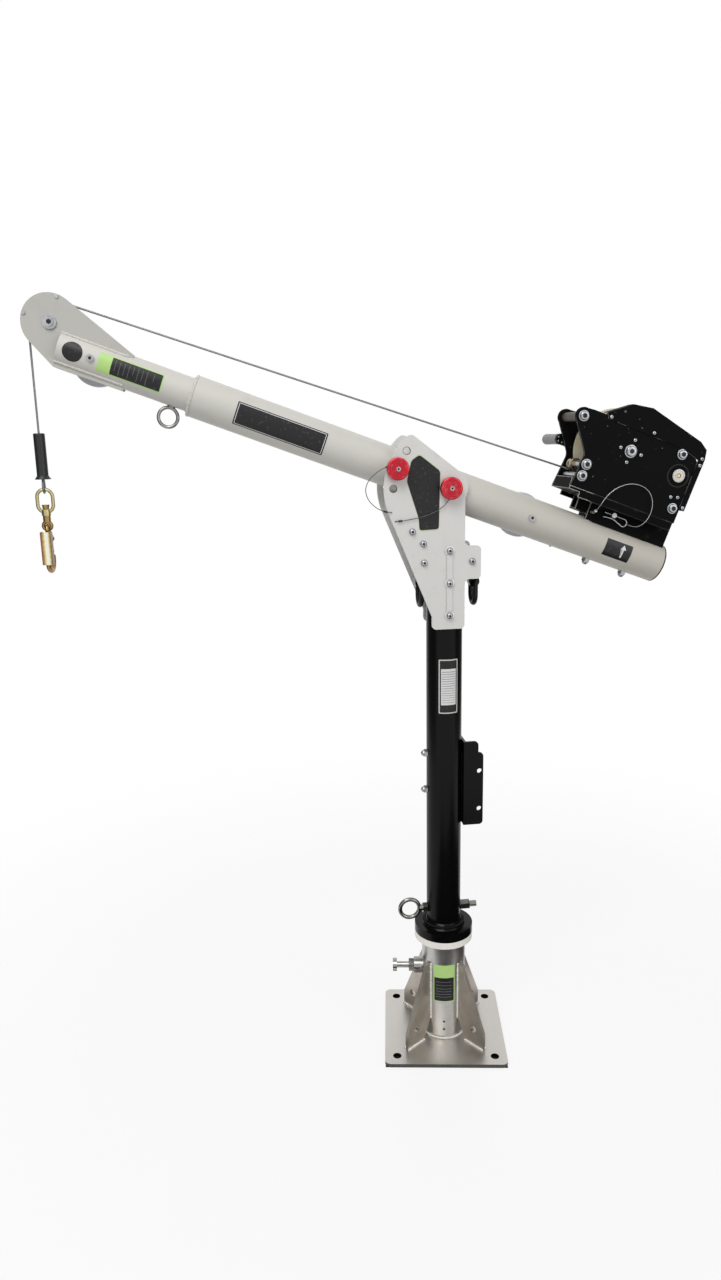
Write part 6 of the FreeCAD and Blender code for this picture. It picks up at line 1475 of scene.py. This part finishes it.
# The drum's pale gold is partly its own tone and partly painted light, for the shade inside the winch.
gold = mix(ramp(drift, 0.35, 0.65), rgb(236, 231, 212), rgb(222, 213, 180))
feed(shader, Base_Color=mix(0.2 * wear, gold, rgb(172, 160, 124)), Roughness=0.34 + 0.2 * wear,
     Normal=bump(wear, 0.0001, 0.4))
coat(lit_drum_gold, "drum")

bronze = drifting("bronze_passivated", (116, 88, 54), (190, 160, 106), (90.0, 4.0), (0.22, 0.2),
                  (0.0001, 0.4), Metallic=1.0)
coat(bronze, "hook_swivel", "hook_body")

LEVER_X = (-0.9334, -0.9104)
lever_gold, shader, place = finish("lever_gold", Metallic=0.7)
drift = cloud(place, 120.0, 3.0)
across = place.node("ShaderNodeSeparateXYZ", {}, {0: place}, 0)
share = (across - LEVER_X[0]) / (LEVER_X[1] - LEVER_X[0]) + 0.16 * (drift - 0.5)
gold = hues(share, (0.05, 122, 78, 58), (0.2, 176, 134, 86), (0.34, 216, 202, 128), (0.46, 244, 241, 228),
            (0.7, 240, 236, 218), (0.82, 196, 178, 108), (0.95, 120, 94, 56))
feed(shader, Base_Color=gold, Roughness=0.22 + 0.2 * drift, Normal=bump(drift, 0.0001, 0.4))
coat(lever_gold, "hook_lever")


# The drum's gear is cut steel and turns with the drum. Old grease darkens it in patches and leaves
# the rest a dull grey.
gear_steel = drifting("greased_gear", (54, 52, 48), (128, 126, 120), (90.0, 4.0), (0.25, 0.25), (0.0002, 0.4),
                      Metallic=0.9)
coat(gear_steel, "drum_gear")


# The hand grip is moulded grey plastic with a matt skin. It turns on the pin at the end of the
# crank.
grip_grey = drifting("grip_grey", (126, 127, 128), (148, 149, 150), (700.0, 2.0), (0.5, 0.15), (0.00015, 0.5))
coat(grip_grey, "crank_grip")


# The lanyard of the hitch clip is brighter wire, fixed in the rail's wall; it bows up in front of
# the winch case and comes back down to the clip's ring.
HITCH_LANYARD = (
    (358, -24, 62), (358, -32, 62), (357.5, -43, 63), (357, -57, 69), (357, -68, 83), (361, -70, 103),
    (372, -70, 124), (389, -70, 142), (411, -70, 154), (438, -70, 157), (462, -70, 148), (477, -70, 129),
    (482, -70, 106), (480, -69, 85), (472, -61, 67), (462, -47, 61), (452.2, -34.6, 62.5),
)
HITCH_SLACK = ((357, -57, 69), (462, -47, 61))
HITCH_CRIMP = (357.4, -45.0, 64.0)
CRIMP_SIZE = 1.6

bright_wire = drifting("bright_wire", (132, 133, 135), (196, 197, 198), (220.0, 3.0), (0.26, 0.2),
                       Metallic=0.95)
hitch_points = spline_points("hitch_route", [on_boom(*p) for p in HITCH_LANYARD])
hitch_wire = lanyard("hitch_lanyard_wire", hitch_points, bright_wire)
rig.blend(hitch_wire, "boom", "hitch_clip", start=on_boom(*HITCH_SLACK[0]), end=on_boom(*HITCH_SLACK[1]))
crimp = ferrule("hitch_ferrule", hitch_points, on_boom(*HITCH_CRIMP) / MM, "boom", bright_wire, CRIMP_SIZE)
as_cord(hitch_wire, "hitch_lanyard", "lanyard_steel", hitch_points, LANYARD_D, "hanging", with_pieces=[crimp])


# The stop sleeve is moulded black rubber, slid over the rope's splice and flared at its foot. It has
# a faint grey bloom.
rubber = drifting("stop_rubber", (18, 19, 20), (36, 37, 39), (60.0, 4.0), (0.34, 0.16), (0.0001, 0.5),
                  (900.0, 2.0), Specular_IOR_Level=0.45)
coat(rubber, "stop_sleeve")


# The rope's end comes out of the sleeve as a spliced eye of the same wire rope, through which the
# oval link hangs.
EYE_ROUTE = (
    (-2.6, 1530), (-2.6, 1510), (-8.6, 1501), (-10.4, 1487), (0, 1474.6), (10.4, 1487), (8.6, 1501),
    (2.6, 1510), (2.6, 1530),
)
EYE_STEP = 1.6 * MM
eye_points = spline_points("eye_route", [Vector((drop_top.x, y * MM, z * MM)) for y, z in EYE_ROUTE])
fit(rope("rope_eye_strands", eye_points, EYE_STEP), "rope_end", "rope_steel", "rope_eye")


shown_box = [list(corner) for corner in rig.bounds()]
with open("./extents.json", "w") as out:
    json.dump({"cad": cad_box, "visual": shown_box}, out)
